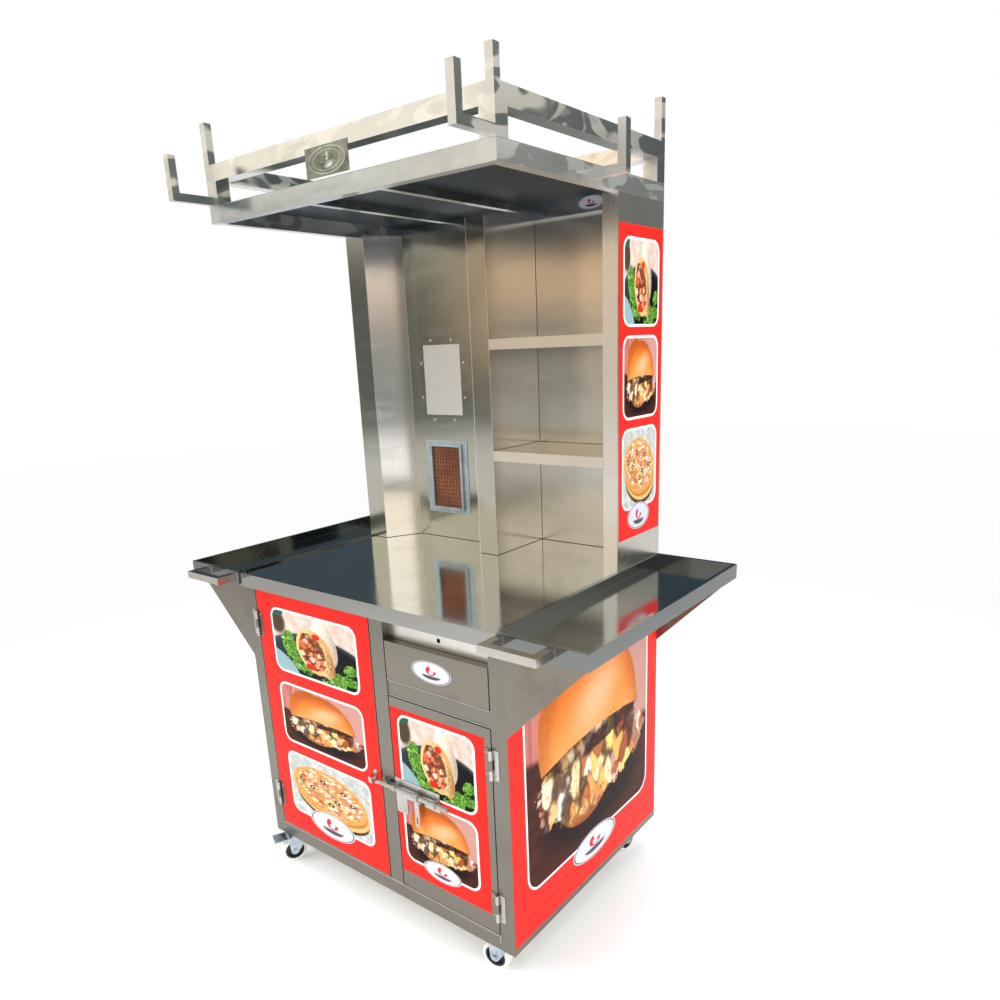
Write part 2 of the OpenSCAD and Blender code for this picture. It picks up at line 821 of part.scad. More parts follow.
module gas_knob() {
    grip = 6;
    color("black") seat() translate([burner_x, knob_y, valve_z]) rotate([-90, 0, 0]) difference() {
        union() {
            cylinder(h = knob_d - grip, r = knob_r, $fn = 48);
            translate([-grip / 2, -knob_r + 2, 0]) cube([grip, 2 * knob_r - 4, knob_d]);
        }
        translate([0, 0, -cut])
            cylinder(h = knob_d / 2 + 2 * cut, r = stem_r + fit_gap, $fn = 32);
    }
}

module burner_screws() {
    inset = 4.5;
    head_r = 2.4;
    mid_z = top_z + burner_z + burner_h / 2;
    color("gray") seat() for (s = [-1, 1], t = [-1, 1]) {
        for (at = [[s * (burner_w / 2 - inset), t * burner_h / 3.4],
            [s * burner_w / 6, t * (burner_h / 2 - inset)]])
            translate([burner_x + at[0], bay_y - sheet, mid_z + at[1]]) rotate([90, 0, 0])
                cylinder(h = 1.4, r = head_r, $fn = 32);
    }
}

// ---- canopy and roof rack ----
module canopy_frame() {
    front = canopy_back;
    rear = body_d - fascia_d;
    side_l = rear - front - fascia_d - 2 * weld_gap;
    color("silver") seat() {
        for (y = [front, rear])
            tube_along(0, [-half_w, y, canopy_z], [body_w, fascia_d, fascia_h], true, true);
        for (x = [-half_w, half_w - fascia_d])
            tube_along(1, [x, front + fascia_d + weld_gap, canopy_z], [fascia_d, side_l, fascia_h]);
        for (x = members_x)
            tube_along(1, [x, front + fascia_d + weld_gap, roof_z - member],
                [member, side_l, member]);
    }
}

module roof_sheet() {
    color("silver") seat()
        block([-half_w, canopy_back, roof_z], [body_w, body_d - canopy_back, sheet]);
}

module rack_posts() {
    far = body_d - rack_tube;
    color("silver") seat() both_sides() {
        for (y = [canopy_back, far])
            tube_along(2, [half_w - rack_tube, y, rack_z],
                [rack_tube, rack_tube, rack_gap]);
        tube_along(2, [half_w - thin_tube, body_d - thin_tube, rack_top],
            [thin_tube, thin_tube, upright_h], false, true);
    }
    color("silver") seat() {
        tube_along(2, [-half_w, canopy_back, rack_top],
            [thin_tube, thin_tube, upright_h], false, true);
        tube_along(2, [half_w - thin_tube, canopy_back, rack_top],
            [thin_tube, thin_tube, short_upright], false, true);
    }
}

module rack_rails() {
    far = body_d - rack_tube;
    side_l = far - canopy_back - rack_tube - 2 * weld_gap;
    color("silver") seat() {
        for (y = [canopy_back, far])
            tube_along(0, [-half_w, y, rail_z], [body_w, rack_tube, rack_tube], true, true);
        for (x = [-half_w, half_w - rack_tube])
            tube_along(1, [x, canopy_back + rack_tube + weld_gap, rail_z],
                [rack_tube, side_l, rack_tube]);
    }
}

module hooks() {
    tip = canopy_back - hook_reach;
    rise = hook_h - thin_tube - weld_gap;
    color("silver") seat() {
        both_sides() {
            tube_along(1, [hook_x, tip, hook_z], [thin_tube, hook_reach, thin_tube], true);
            tube_along(2, [hook_x, tip, hook_z + thin_tube + weld_gap],
                [thin_tube, thin_tube, rise], false, true);
        }
        translate([half_w, canopy_back + side_hook_y - thin_tube / 2, side_hook_z]) {
            tube_along(0, [0, 0, 0], [side_reach, thin_tube, thin_tube], false, true);
            tube_along(2, [side_reach - thin_tube, 0, thin_tube + weld_gap],
                [thin_tube, thin_tube, rise], false, true);
        }
    }
}

module name_plate() {
    color("khaki") seat()
        block([plate_x - plate_w / 2, canopy_back - plate_t, plate_z], [plate_w, plate_t, plate_h]);
}

module wall_films() {
    edge = 4;
    color("tomato") seat() {
        block([half_w, edge, cab_z + side_film_foot],
            [film, body_d - 2 * edge, under_top - side_film_top - cab_z - side_film_foot]);
        block([half_w, upper_y + edge, top_z + upper_film_foot],
            [film, upper_d - 2 * edge, upper_h - upper_film_foot - upper_film_top]);
    }
}

// ---- casters ----
module at_caster(i) {
    s = corner_signs[i];
    x = s[0] * (half_w - swivel_x);
    y = s[1] < 0 ? swivel_y : body_d - swivel_y;
    seat() translate([x, y, 0]) rotate([0, 0, wheel_dirs[i]]) children();
}

// everything in a caster's own frame runs along +X from the swivel axis to the wheel
module caster_plates() {
    color("slategray") for (i = [0:3]) at_caster(i) {
        rotate([0, 0, -wheel_dirs[i]]) translate([-plate_l / 2, -plate_d / 2, cab_z - caster_plate_t])
            cube([plate_l, plate_d, caster_plate_t]);
        translate([0, 0, cab_z - caster_plate_t - race_h])
            cylinder(h = race_h + caster_plate_t / 2, r = race_r, $fn = 48);
        translate([0, 0, crown_z - swivel_gap - caster_plate_t]) {
            cylinder(h = cab_z - crown_z, r = king_r, $fn = 32);
            cylinder(h = caster_plate_t, r = king_r + 3, $fn = 32);
        }
    }
}

module across(w) {
    rotate([90, 0, 0]) translate([0, 0, -w / 2]) children();
}

module fork(i) {
    outer_w = 2 * (fork_in + fork_t);
    ear_r = 5;
    color("slategray") at_caster(i) {
        difference() {
            union() {
                translate([0, 0, crown_z]) cylinder(h = crown_t, r = race_r, $fn = 48);
                translate([-race_r + 6, -outer_w / 2, crown_z]) cube([2 * race_r - 6, outer_w, crown_t]);
                for (w = [-fork_in - fork_t, fork_in]) translate([0, w + fork_t, 0])
                    rotate([90, 0, 0]) linear_extrude(fork_t) hull() {
                        translate([trail, wheel_r]) circle(r = 3 * axle_r, $fn = 32);
                        translate([pedal_u, pedal_z]) circle(r = ear_r, $fn = 32);
                        translate([-race_r + 6, crown_z]) square([2 * race_r - 6, crown_t]);
                    }
            }
            translate([0, 0, crown_z - cut]) cylinder(h = crown_t + 2 * cut, r = king_r + fit_gap, $fn = 32);
            translate([trail, 0, wheel_r]) across(outer_w + 2)
                cylinder(h = outer_w + 2, r = axle_r + fit_gap, $fn = 32);
            translate([pedal_u, 0, pedal_z]) across(outer_w + 2)
                cylinder(h = outer_w + 2, r = pedal_r + fit_gap, $fn = 32);
        }
        axle(outer_w);
    }
}

module axle(w) {
    head = 4;
    end = w + 2 * weld_gap;
    translate([trail, 0, wheel_r]) across(end) {
        cylinder(h = end, r = axle_r, $fn = 32);
        for (z = [-head, end]) translate([0, 0, z]) cylinder(h = head, r = 1.7 * axle_r, $fn = 6);
    }
}

module ring_profile(r0, r1, w, round_r) {
    translate([r0, -w / 2]) square([r1 - r0 - round_r, w]);
    translate([r0, -w / 2 + round_r]) square([r1 - r0, w - 2 * round_r]);
    for (s = [-1, 1]) translate([r1 - round_r, s * (w / 2 - round_r)]) circle(r = round_r, $fn = 32);
}

module tyre(i) {
    color("white") at_caster(i) translate([trail, 0, wheel_r]) rotate([90, 0, 0])
        rotate_extrude($fn = 72) ring_profile(hub_r, wheel_r, tyre_w, 4);
}

module hub(i) {
    boss_r = axle_r + 6;
    web = 6;
    bore_r = axle_r + fit_gap;
    color("dimgray") at_caster(i) translate([trail, 0, wheel_r]) rotate([90, 0, 0])
        rotate_extrude($fn = 72) {
            translate([bore_r, -hub_w / 2]) square([boss_r - bore_r, hub_w]);
            translate([bore_r, -web / 2]) square([hub_r - bore_r, web]);
            translate([hub_r - 4, -hub_w / 2 + 2]) square([4, hub_w - 4]);
        }
}

module pedal(i) {
    cheek_t = 2;
    cheek_w = fork_in + fork_t + 0.5;
    color("lightsteelblue") at_caster(i) translate([pedal_u, 0, pedal_z]) {
        across(2 * cheek_w + 2 * cheek_t) cylinder(h = 2 * cheek_w + 2 * cheek_t, r = pedal_r, $fn = 32);
        for (w = [-cheek_w - cheek_t, cheek_w]) translate([0, w + cheek_t, 0])
            rotate([90, 0, 0]) linear_extrude(cheek_t) hull() {
                circle(r = 5, $fn = 32);
                translate([8, pedal_t]) square([pedal_l / 2, pedal_t]);
            }
        translate([8, -pedal_w / 2, pedal_t]) cube([pedal_l - 8, pedal_w, pedal_t]);
    }
}

base_frame();
floor_sheet();
back_panel();
side_panels();
partition();
lock_panel();
drawer_runners();
countertop();
tray_left();
tray_right();
gussets();
push_handles();
upper_posts();
upper_side_panels();
upper_back();
reflector();
shelf_strip();
shelves();
blank_plate();
burner_frame();
burner_tile();
burner_mesh();
burner_housing();
gas_valve();
gas_knob();
canopy_frame();
roof_sheet();
rack_posts();
rack_rails();
hooks();
name_plate();
wall_films();
door_fittings();
burner_screws();
left_door_panel();
left_door_film();
bolt_saddle();
bolt_keeper();
right_door_panel();
right_door_film();
latch_plate();
bolt_rod();
bolt_hasp();
drawer_box();
drawer_front();
caster_plates();
fork(0);  // fork_front_left
fork(1);  // fork_front_right
fork(2);  // fork_rear_left
fork(3);  // fork_rear_right
tyre(0);  // tyre_front_left
tyre(1);  // tyre_front_right
tyre(2);  // tyre_rear_left
tyre(3);  // tyre_rear_right
hub(0);  // hub_front_left
hub(1);  // hub_front_right
hub(2);  // hub_rear_left
hub(3);  // hub_rear_right
pedal(0);  // pedal_front_left
pedal(3);  // pedal_rear_right
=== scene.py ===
import json
import math

import bmesh
import bpy
from mathutils import Matrix, Vector

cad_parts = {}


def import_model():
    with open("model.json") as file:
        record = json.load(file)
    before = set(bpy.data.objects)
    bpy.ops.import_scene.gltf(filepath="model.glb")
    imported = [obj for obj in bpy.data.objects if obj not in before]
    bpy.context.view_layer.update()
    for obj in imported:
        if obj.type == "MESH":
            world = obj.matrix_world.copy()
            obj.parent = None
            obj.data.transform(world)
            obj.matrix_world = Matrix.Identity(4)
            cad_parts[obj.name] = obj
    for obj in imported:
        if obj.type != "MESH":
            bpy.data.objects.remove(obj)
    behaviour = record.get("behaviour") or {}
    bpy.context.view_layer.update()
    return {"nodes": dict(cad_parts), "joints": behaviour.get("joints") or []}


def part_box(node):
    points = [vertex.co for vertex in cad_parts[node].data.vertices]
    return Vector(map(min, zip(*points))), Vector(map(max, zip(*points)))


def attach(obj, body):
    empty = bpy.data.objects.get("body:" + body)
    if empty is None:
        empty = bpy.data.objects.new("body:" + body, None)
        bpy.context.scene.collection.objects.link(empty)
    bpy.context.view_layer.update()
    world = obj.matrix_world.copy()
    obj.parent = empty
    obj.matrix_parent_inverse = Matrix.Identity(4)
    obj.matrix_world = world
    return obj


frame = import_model()


class Sock:  # a shader socket that can be used in sums
    def __init__(self, finish, socket):
        self.finish, self.socket = finish, socket

    def work(self, operation, other=None, flipped=False):
        pair = (other, self) if flipped else (self, other)
        wide = any(isinstance(v, Sock) and v.socket.type in ("VECTOR", "RGBA") for v in pair)
        kind = "ShaderNodeVectorMath" if wide else "ShaderNodeMath"
        values = {i: v for i, v in enumerate(pair) if v is not None}
        return self.finish.node(kind, {"operation": operation}, values)

    def __add__(self, other):
        return self.work("ADD", other)

    def __radd__(self, other):
        return self.work("ADD", other, True)

    def __sub__(self, other):
        return self.work("SUBTRACT", other)

    def __rsub__(self, other):
        return self.work("SUBTRACT", other, True)

    def __mul__(self, other):
        return self.work("MULTIPLY", other)

    def __rmul__(self, other):
        return self.work("MULTIPLY", other, True)

    def __truediv__(self, other):
        return self.work("DIVIDE", other)

    def __pow__(self, other):
        return self.work("POWER", other)

    def lesser(self, other):
        return self.work("MINIMUM", other)

    def greater(self, other):
        return self.work("MAXIMUM", other)


class Finish:  # one material and its nodes
    def __init__(self, name, **fixed):
        self.material = bpy.data.materials.new(name)
        self.material.use_nodes = True
        self.tree = self.material.node_tree
        self.shader = self.tree.nodes["Principled BSDF"]
        self.give(**fixed)

    def node(self, kind, settings=None, values=None, out=0):
        made = self.tree.nodes.new(kind)
        for key, value in (settings or {}).items():
            if key == "stops":
                self.setStops(made.color_ramp, value)
            else:
                setattr(made, key, value)
        for key, value in (values or {}).items():
            self.feed(made.inputs[key], value)
        return Sock(self, made.outputs[out])

    def setStops(self, ramp, stops):
        while len(ramp.elements) < len(stops):
            ramp.elements.new(1)
        for element, (place, colour) in zip(ramp.elements, stops):
            element.position = place
            element.color = (*colour, 1)

    def feed(self, socket, value):
        if isinstance(value, Sock):
            self.tree.links.new(value.socket, socket)
        elif socket.type == "RGBA":
            socket.default_value = (*value[:3], 1)
        elif socket.type == "VECTOR" and isinstance(value, (int, float)):
            socket.default_value = (value,) * 3
        else:
            socket.default_value = value

    def give(self, **values):  # baseColor=..., roughness=...: sockets of the shader
        names = {"baseColor": "Base Color", "coat": "Coat Weight", "coatRoughness": "Coat Roughness",
                 "specular": "Specular IOR Level", "metallic": "Metallic", "roughness": "Roughness",
                 "normal": "Normal"}
        for key, value in values.items():
            self.feed(self.shader.inputs[names[key]], value)

    def place(self):
        return self.node("ShaderNodeTexCoord", out=3)

    def noise(self, vector, scale, detail=3.0, roughness=0.55, distortion=0.0):
        return self.node("ShaderNodeTexNoise", {}, {"Vector": vector, "Scale": scale, "Detail": detail,
                                                    "Roughness": roughness, "Distortion": distortion})

    def pieces(self, vector, scale, out=1):  # random colour of a scattered piece, or distance to it
        return self.node("ShaderNodeTexVoronoi", {}, {"Vector": vector, "Scale": scale}, out)

    def split(self, vector):
        return [self.node("ShaderNodeSeparateXYZ", {}, {0: vector}, k) for k in range(3)]

    def step(self, value, low, high):  # smooth 0 to 1 as value goes from low to high
        return self.node("ShaderNodeMapRange", {"interpolation_type": "SMOOTHSTEP"},
                         {"Value": value, "From Min": low, "From Max": high})

    def ramp(self, value, stops):
        return self.node("ShaderNodeValToRGB", {"stops": stops}, {0: value})

    def mix(self, factor, first, second):
        return self.node("ShaderNodeMix", {"data_type": "RGBA"}, {0: factor, 6: first, 7: second}, 2)

    def bump(self, height, distance, strength=1.0, normal=None):
        values = {"Height": height, "Distance": distance, "Strength": strength}
        if normal is not None:
            values["Normal"] = normal
        return self.node("ShaderNodeBump", {}, values)

    def facing(self):  # the way a face looks
        return self.split(self.node("ShaderNodeTexCoord", out=1))

    def softEdge(self, radius):
        return self.node("ShaderNodeBevel", {"samples": 4}, {"Radius": radius})


print("steel finishes")
steelLooks = {  # side, slant, warm, cast: painted light on some faces (painted shade on faces that look sideways, a painted highlight on faces turned partly to the right, painted amber light high in the bay, painted dark reflections); frost: how far out the welded ends begin
    "tube": dict(base=(0.50, 0.475, 0.43), dark=(0.34, 0.31, 0.27), rough=0.20, grain=(30, 30, 30),
                 wave=0.0006, edge=0.0007),
    "post": dict(base=(0.86, 0.81, 0.73), dark=(0.66, 0.61, 0.54), rough=0.26, grain=(900, 900, 12),
                 wave=0.0006, edge=0.0007, stain=0.4),
    # rack and canopy: painted dark reflections in scattered patches
    "rack": dict(base=(0.86, 0.85, 0.82), dark=(0.66, 0.64, 0.60), rough=0.10, grain=(30, 30, 30),
                 wave=0.0010, edge=0.0007, frost=0.43, cast=(0.085, 0.125, 0.135)),
    # lower body and drawer: a darker brushed finish, made darker still as painted shade for the dark
    # reflections on these faces
    "cabinet": dict(base=(0.215, 0.205, 0.175), dark=(0.125, 0.116, 0.098), rough=0.30, grain=(900, 900, 12),
                    wave=0.0004, edge=0.0006, stain=0.5),
    "drawer": dict(base=(0.235, 0.212, 0.178), dark=(0.145, 0.130, 0.108), rough=0.30, grain=(900, 900, 12),
                   wave=0.0004, edge=0.0006),
    # sheet steel: painted amber light high up in the shelf bay
    "sheet": dict(base=(0.64, 0.62, 0.56), dark=(0.44, 0.42, 0.37), rough=0.21, grain=(900, 900, 10),
                  wave=0.0010, edge=0.0006, stain=0.45, warmLight=(1.0, 0.78, 0.53)),
    # reflector: a painted highlight on its faces turned partly to the right
    "mirror": dict(base=(0.50, 0.49, 0.42), dark=(0.34, 0.33, 0.27), rough=0.11, grain=(1100, 1100, 8),
                   wave=0.0014, edge=0.0006, stain=0.7, paintedSlantHighlight=(0.98, 0.94, 0.89)),
    # counter and trays: their upright faces get painted shade, a darker tone set by the way they face
    "counter": dict(base=(0.74, 0.75, 0.74), dark=(0.55, 0.55, 0.53), rough=0.07, grain=(8, 1100, 1100),
                    wave=0.0010, edge=0.0007, stain=0.6, side=(0.27, 0.26, 0.24)),
    "tray": dict(base=(0.44, 0.48, 0.51), dark=(0.30, 0.31, 0.31), rough=0.09, grain=(1100, 8, 1100),
                 wave=0.0010, edge=0.0007, stain=0.8, side=(0.15, 0.16, 0.155)),
    "inside": dict(base=(0.84, 0.77, 0.66), dark=(0.60, 0.54, 0.45), rough=0.30, grain=(900, 900, 10),
                   wave=0.0006, stain=0.3, edge=0.0006),
    "canopy": dict(base=(0.60, 0.63, 0.66), dark=(0.42, 0.44, 0.45), rough=0.16, grain=(30, 30, 30),
                   wave=0.0010, edge=0.0007, frost=0.43, cast=(0.36, 0.39, 0.40)),
    "satin": dict(base=(0.86, 0.86, 0.83), dark=(0.60, 0.60, 0.58), rough=0.34, grain=(260, 260, 3),
                  wave=0.0004, edge=0.0005, stain=0.15),
    "panel": dict(base=(0.72, 0.70, 0.65), dark=(0.40, 0.39, 0.36), rough=0.30, grain=(9, 900, 900),
                  wave=0.0006, edge=0.0005),
    "bright": dict(base=(0.95, 0.94, 0.92), dark=(0.80, 0.79, 0.77), rough=0.30, grain=(30, 30, 30),
                   wave=0.0002, edge=0.0004, stain=0.3),
    "plain": dict(base=(0.52, 0.51, 0.48), dark=(0.34, 0.33, 0.31), rough=0.26, grain=(9, 900, 900),
                  wave=0.0004, edge=0.0005),
}


# stains, smears, scratches and weld frost are wear; the patch scale at the end is for painted reflections
steelWearAndPaintedReflections = {"stains": 7.0, "stained": (0.50, 0.76), "smears": (5, 5, 22), "swells": 2.6,
             "scratches": (3, 40, 40), "scratchWidth": 0.035, "roughens": 0.10,
             "frostTone": (0.86, 0.84, 0.82), "paintedReflectionPatches": (7, 7, 15)}
# painted amber light in the shelf bay: heights where it rises and falls, where it starts to the right, how
# strong it is
paintedBayLight = {"rise": (1.50, 1.68), "fall": (1.70, 1.86), "rightOf": (0.02, 0.06), "strength": 0.55}


def steel(name, base, dark, rough, grain, wave, edge, stain=1.0, side=None, frost=None, cast=None,
          paintedSlantHighlight=None, warmLight=None):
    made = Finish(name, metallic=1.0)
    place = made.place()
    across, _, height = made.split(place)
    right, over, up = made.facing()
    lines = made.noise(place * grain, 1.0, 2.0)
    stains = made.noise(place, steelWearAndPaintedReflections["stains"], 3.0, 0.55)
    smears = made.noise(place * steelWearAndPaintedReflections["smears"], 1.0, 3.0, 0.55, 0.5)
    swells = made.noise(place, steelWearAndPaintedReflections["swells"], 1.0)
    scratches = made.pieces(place * steelWearAndPaintedReflections["scratches"], 6.0, 0)
    worn = made.step(stains, *steelWearAndPaintedReflections["stained"]) * stain
    colour = made.mix(worn * 0.6 + lines * 0.3, base, dark)
    if side:  # painted shade: a darker tone on faces that look sideways
        colour = made.mix(made.step(up * up, 0.3, 0.7), made.mix(lines * 0.4, side, dark), colour)
    if paintedSlantHighlight:  # painted highlight: a near-white tone on faces turned partly to the right
        colour = made.mix(made.step(right, 0.2, 0.4), colour, paintedSlantHighlight)
    if warmLight:  # painted amber light high up in the bay, on faces that look to the front or to the left
        inward = made.step(0 - right.lesser(over), 0.5, 0.8) * made.step(across, *paintedBayLight["rightOf"])
        uneven = height + (smears - 0.5) * 0.12
        band = made.step(uneven, *paintedBayLight["rise"]) * (1 - made.step(uneven, *paintedBayLight["fall"]))
        colour = made.mix(inward * band * paintedBayLight["strength"], colour, warmLight)
    roughens = steelWearAndPaintedReflections["roughens"] * stain
    roughness = rough + made.step(smears, 0.42, 0.8) * roughens + lines * 0.10 - 0.03
    roughness = roughness + (1 - made.step(scratches, 0.0, steelWearAndPaintedReflections["scratchWidth"])) * roughens
    if frost:  # dulled by welding at the ends
        dull = made.step(across.work("ABSOLUTE") + (smears - 0.5) * 0.10, frost - 0.03, frost + 0.01)
        colour = made.mix(dull * 0.7, colour, steelWearAndPaintedReflections["frostTone"])
        roughness = roughness + dull * 0.22
    if cast:  # painted dark reflections in scattered patches, most of all on faces that look to the right
        paintedReflectionPatches = made.step(made.noise(place * steelWearAndPaintedReflections["paintedReflectionPatches"], 1.0, 1.5, 0.5, 1.4), 0.43, 0.50)
        colour = made.mix((made.step(right, 0.6, 0.9) * 0.68 + 0.14) * paintedReflectionPatches, colour, cast)
    made.give(baseColor=colour, roughness=roughness)
    bumps = swells * wave + lines * 0.000012 + stains * 0.00003 * stain
    made.give(normal=made.bump(bumps, 1.0, 1.0, made.softEdge(edge)))
    return made.material


def roofSteel():  # dark below, where nothing shines on it, and plain steel on top
    made = Finish("roofSteel", specular=0.12)
    place = made.place()
    up = made.step(made.facing()[2], -0.7, -0.3)
    lines = made.noise(place * (900, 10, 900), 1.0, 2.0)
    cloud = made.noise(place, 4.0, 3.0)
    below = made.mix(cloud, (0.012, 0.021, 0.027), (0.030, 0.043, 0.052))
    above = made.mix(lines * 0.4 + cloud * 0.2, (0.60, 0.60, 0.58), (0.42, 0.42, 0.40))
    made.give(baseColor=made.mix(up, below, above), metallic=up, roughness=0.42 - up * 0.18 + cloud * 0.08)
    made.give(normal=made.bump(lines * 0.000012 + cloud * 0.0012, 1.0, 1.0, made.softEdge(0.0006)))
    return made.material


steels = {name: steel(name + "Steel", **look) for name, look in steelLooks.items()}


def zinc():
    made = Finish("zincPlate", metallic=1.0)
    place = made.place()
    tone = made.noise(place, 60.0, 4.0)
    made.give(baseColor=made.ramp(tone, [(0.3, (0.36, 0.44, 0.50)), (0.55, (0.52, 0.60, 0.66)),
                                         (0.8, (0.64, 0.66, 0.62))]))
    made.give(roughness=0.24 + tone * 0.22)
    made.give(normal=made.bump(tone * 0.0001, 1.0, 0.8, made.softEdge(0.0008)))
    return made.material


def whiteTyre():
    made = Finish("whiteTyre", specular=0.35)
    place = made.place()
    speck = made.noise(place, 240.0, 3.0)
    grime = made.step(made.noise(place, 34.0, 5.0, 0.65), 0.5, 0.78)
    made.give(baseColor=made.mix(grime * 0.5, (0.80, 0.79, 0.75), (0.38, 0.35, 0.31)))
    made.give(roughness=0.5 + speck * 0.2)
    made.give(normal=made.bump(speck * 0.0002, 1.0, 0.6, made.softEdge(0.001)))
    return made.material


def moulded(name, colour, rough):
    made = Finish(name, specular=0.4)
    place = made.place()
    grain = made.noise(place, 700.0, 2.0)
    dust = made.noise(place, 30.0, 4.0)
    made.give(baseColor=made.mix(dust * 0.35, colour, tuple(c * 2.2 + 0.02 for c in colour)))
    made.give(roughness=rough + grain * 0.15)
    made.give(normal=made.bump(grain * 0.00012, 1.0, 0.7, made.softEdge(0.0006)))
    return made.material


def brass(name, light, dark, rough):
    made = Finish(name, metallic=1.0)
    place = made.place()
    tarnish = made.noise(place, 45.0, 5.0, 0.6)
    lines = made.noise(place * (20, 900, 900), 1.0, 2.0)
    made.give(baseColor=made.mix(made.step(tarnish, 0.35, 0.75), light, dark))
    made.give(roughness=rough + tarnish * 0.2 + lines * 0.08)
    made.give(normal=made.bump(tarnish * 0.0003 + lines * 0.00001, 1.0, 0.8, made.softEdge(0.0008)))
    return made.material


def heatedSteel():
    made = Finish("burnerSteel", metallic=0.75)
    place = made.place()
    tone = made.noise(place, 26.0, 4.0)
    made.give(baseColor=made.ramp(tone, [(0.3, (0.36, 0.45, 0.50)), (0.6, (0.53, 0.62, 0.66)),
                                         (0.85, (0.60, 0.58, 0.50))]))
    made.give(roughness=0.30 + tone * 0.25)
    made.give(normal=made.bump(tone * 0.0004, 1.0, 0.8, made.softEdge(0.0015)))
    return made.material


def ceramic():
    made = Finish("burnerTile", specular=0.2)
    place = made.place()
    holes = made.pieces(place * (1, 0.02, 1), 260.0, 0)
    patch = made.noise(place, 14.0, 4.0)
    body = made.mix(made.step(patch, 0.35, 0.7), (0.42, 0.15, 0.07), (0.27, 0.09, 0.045))
    # painted shade: the tile's holes are coloured near black for the shade inside them
    made.give(baseColor=made.mix(1 - made.step(holes, 0.12, 0.3), body, (0.05, 0.02, 0.012)))
    made.give(roughness=0.85 + patch * 0.1)
    made.give(normal=made.bump(holes * 0.0008, 1.0, 0.8))
    return made.material


def redFilm():
    made = Finish("redFilm", specular=0.08)
    place = made.place()
    wave = made.noise(place, 5.0, 2.0)
    fine = made.noise(place, 420.0, 2.0)
    scuff = made.step(made.noise(place * (1, 1, 3), 16.0, 6.0, 0.7), 0.60, 0.82)
    made.give(baseColor=made.mix(wave * 0.25 + scuff * 0.25, (0.86, 0.018, 0.012), (0.72, 0.030, 0.020)))
    made.give(roughness=0.32 + scuff * 0.2 + fine * 0.05)
    made.give(normal=made.bump(wave * 0.0008 + fine * 0.00002, 1.0, 0.7))
    return made.material


print("printed pictures")


class Picture(Finish):  # a print drawn on a card that runs from -1.3 to 1.3 and -1 to 1
    def __init__(self, name):
        super().__init__(name, specular=0.07)
        self.spot = self.place()
        self.x, self.y = self.split(self.spot)[:2]
        self.rough = self.noise(self.spot, 3.2, 4.0) - 0.5
        self.fine = self.noise(self.spot, 13.0, 4.0, 0.65) - 0.5
        self.colour = None

    def oval(self, centre, size, turn=0.0, ragged=0.0):  # below 0 inside, about 1 at twice the size
        c, s = math.cos(math.radians(turn)), math.sin(math.radians(turn))
        dx, dy = self.x - centre[0], self.y - centre[1]
        along, over = (dx * c + dy * s) / size[0], (dy * c - dx * s) / size[1]
        far = (along * along + over * over) ** 0.5 - 1
        return far + (self.rough * 2 + self.fine) * ragged if ragged else far

    def inside(self, edge, soft=0.03):
        return 1 - self.step(edge, -soft, soft)

    def cover(self, mask, colour):
        self.colour = colour if self.colour is None else self.mix(mask, self.colour, colour)

    def finishUp(self, deep=1.35):  # a deeper print: the tones are raised to this power
        self.colour = self.colour ** deep
        self.give(baseColor=self.colour, roughness=0.30 + (self.fine + 0.5) * 0.08)
        return self.material


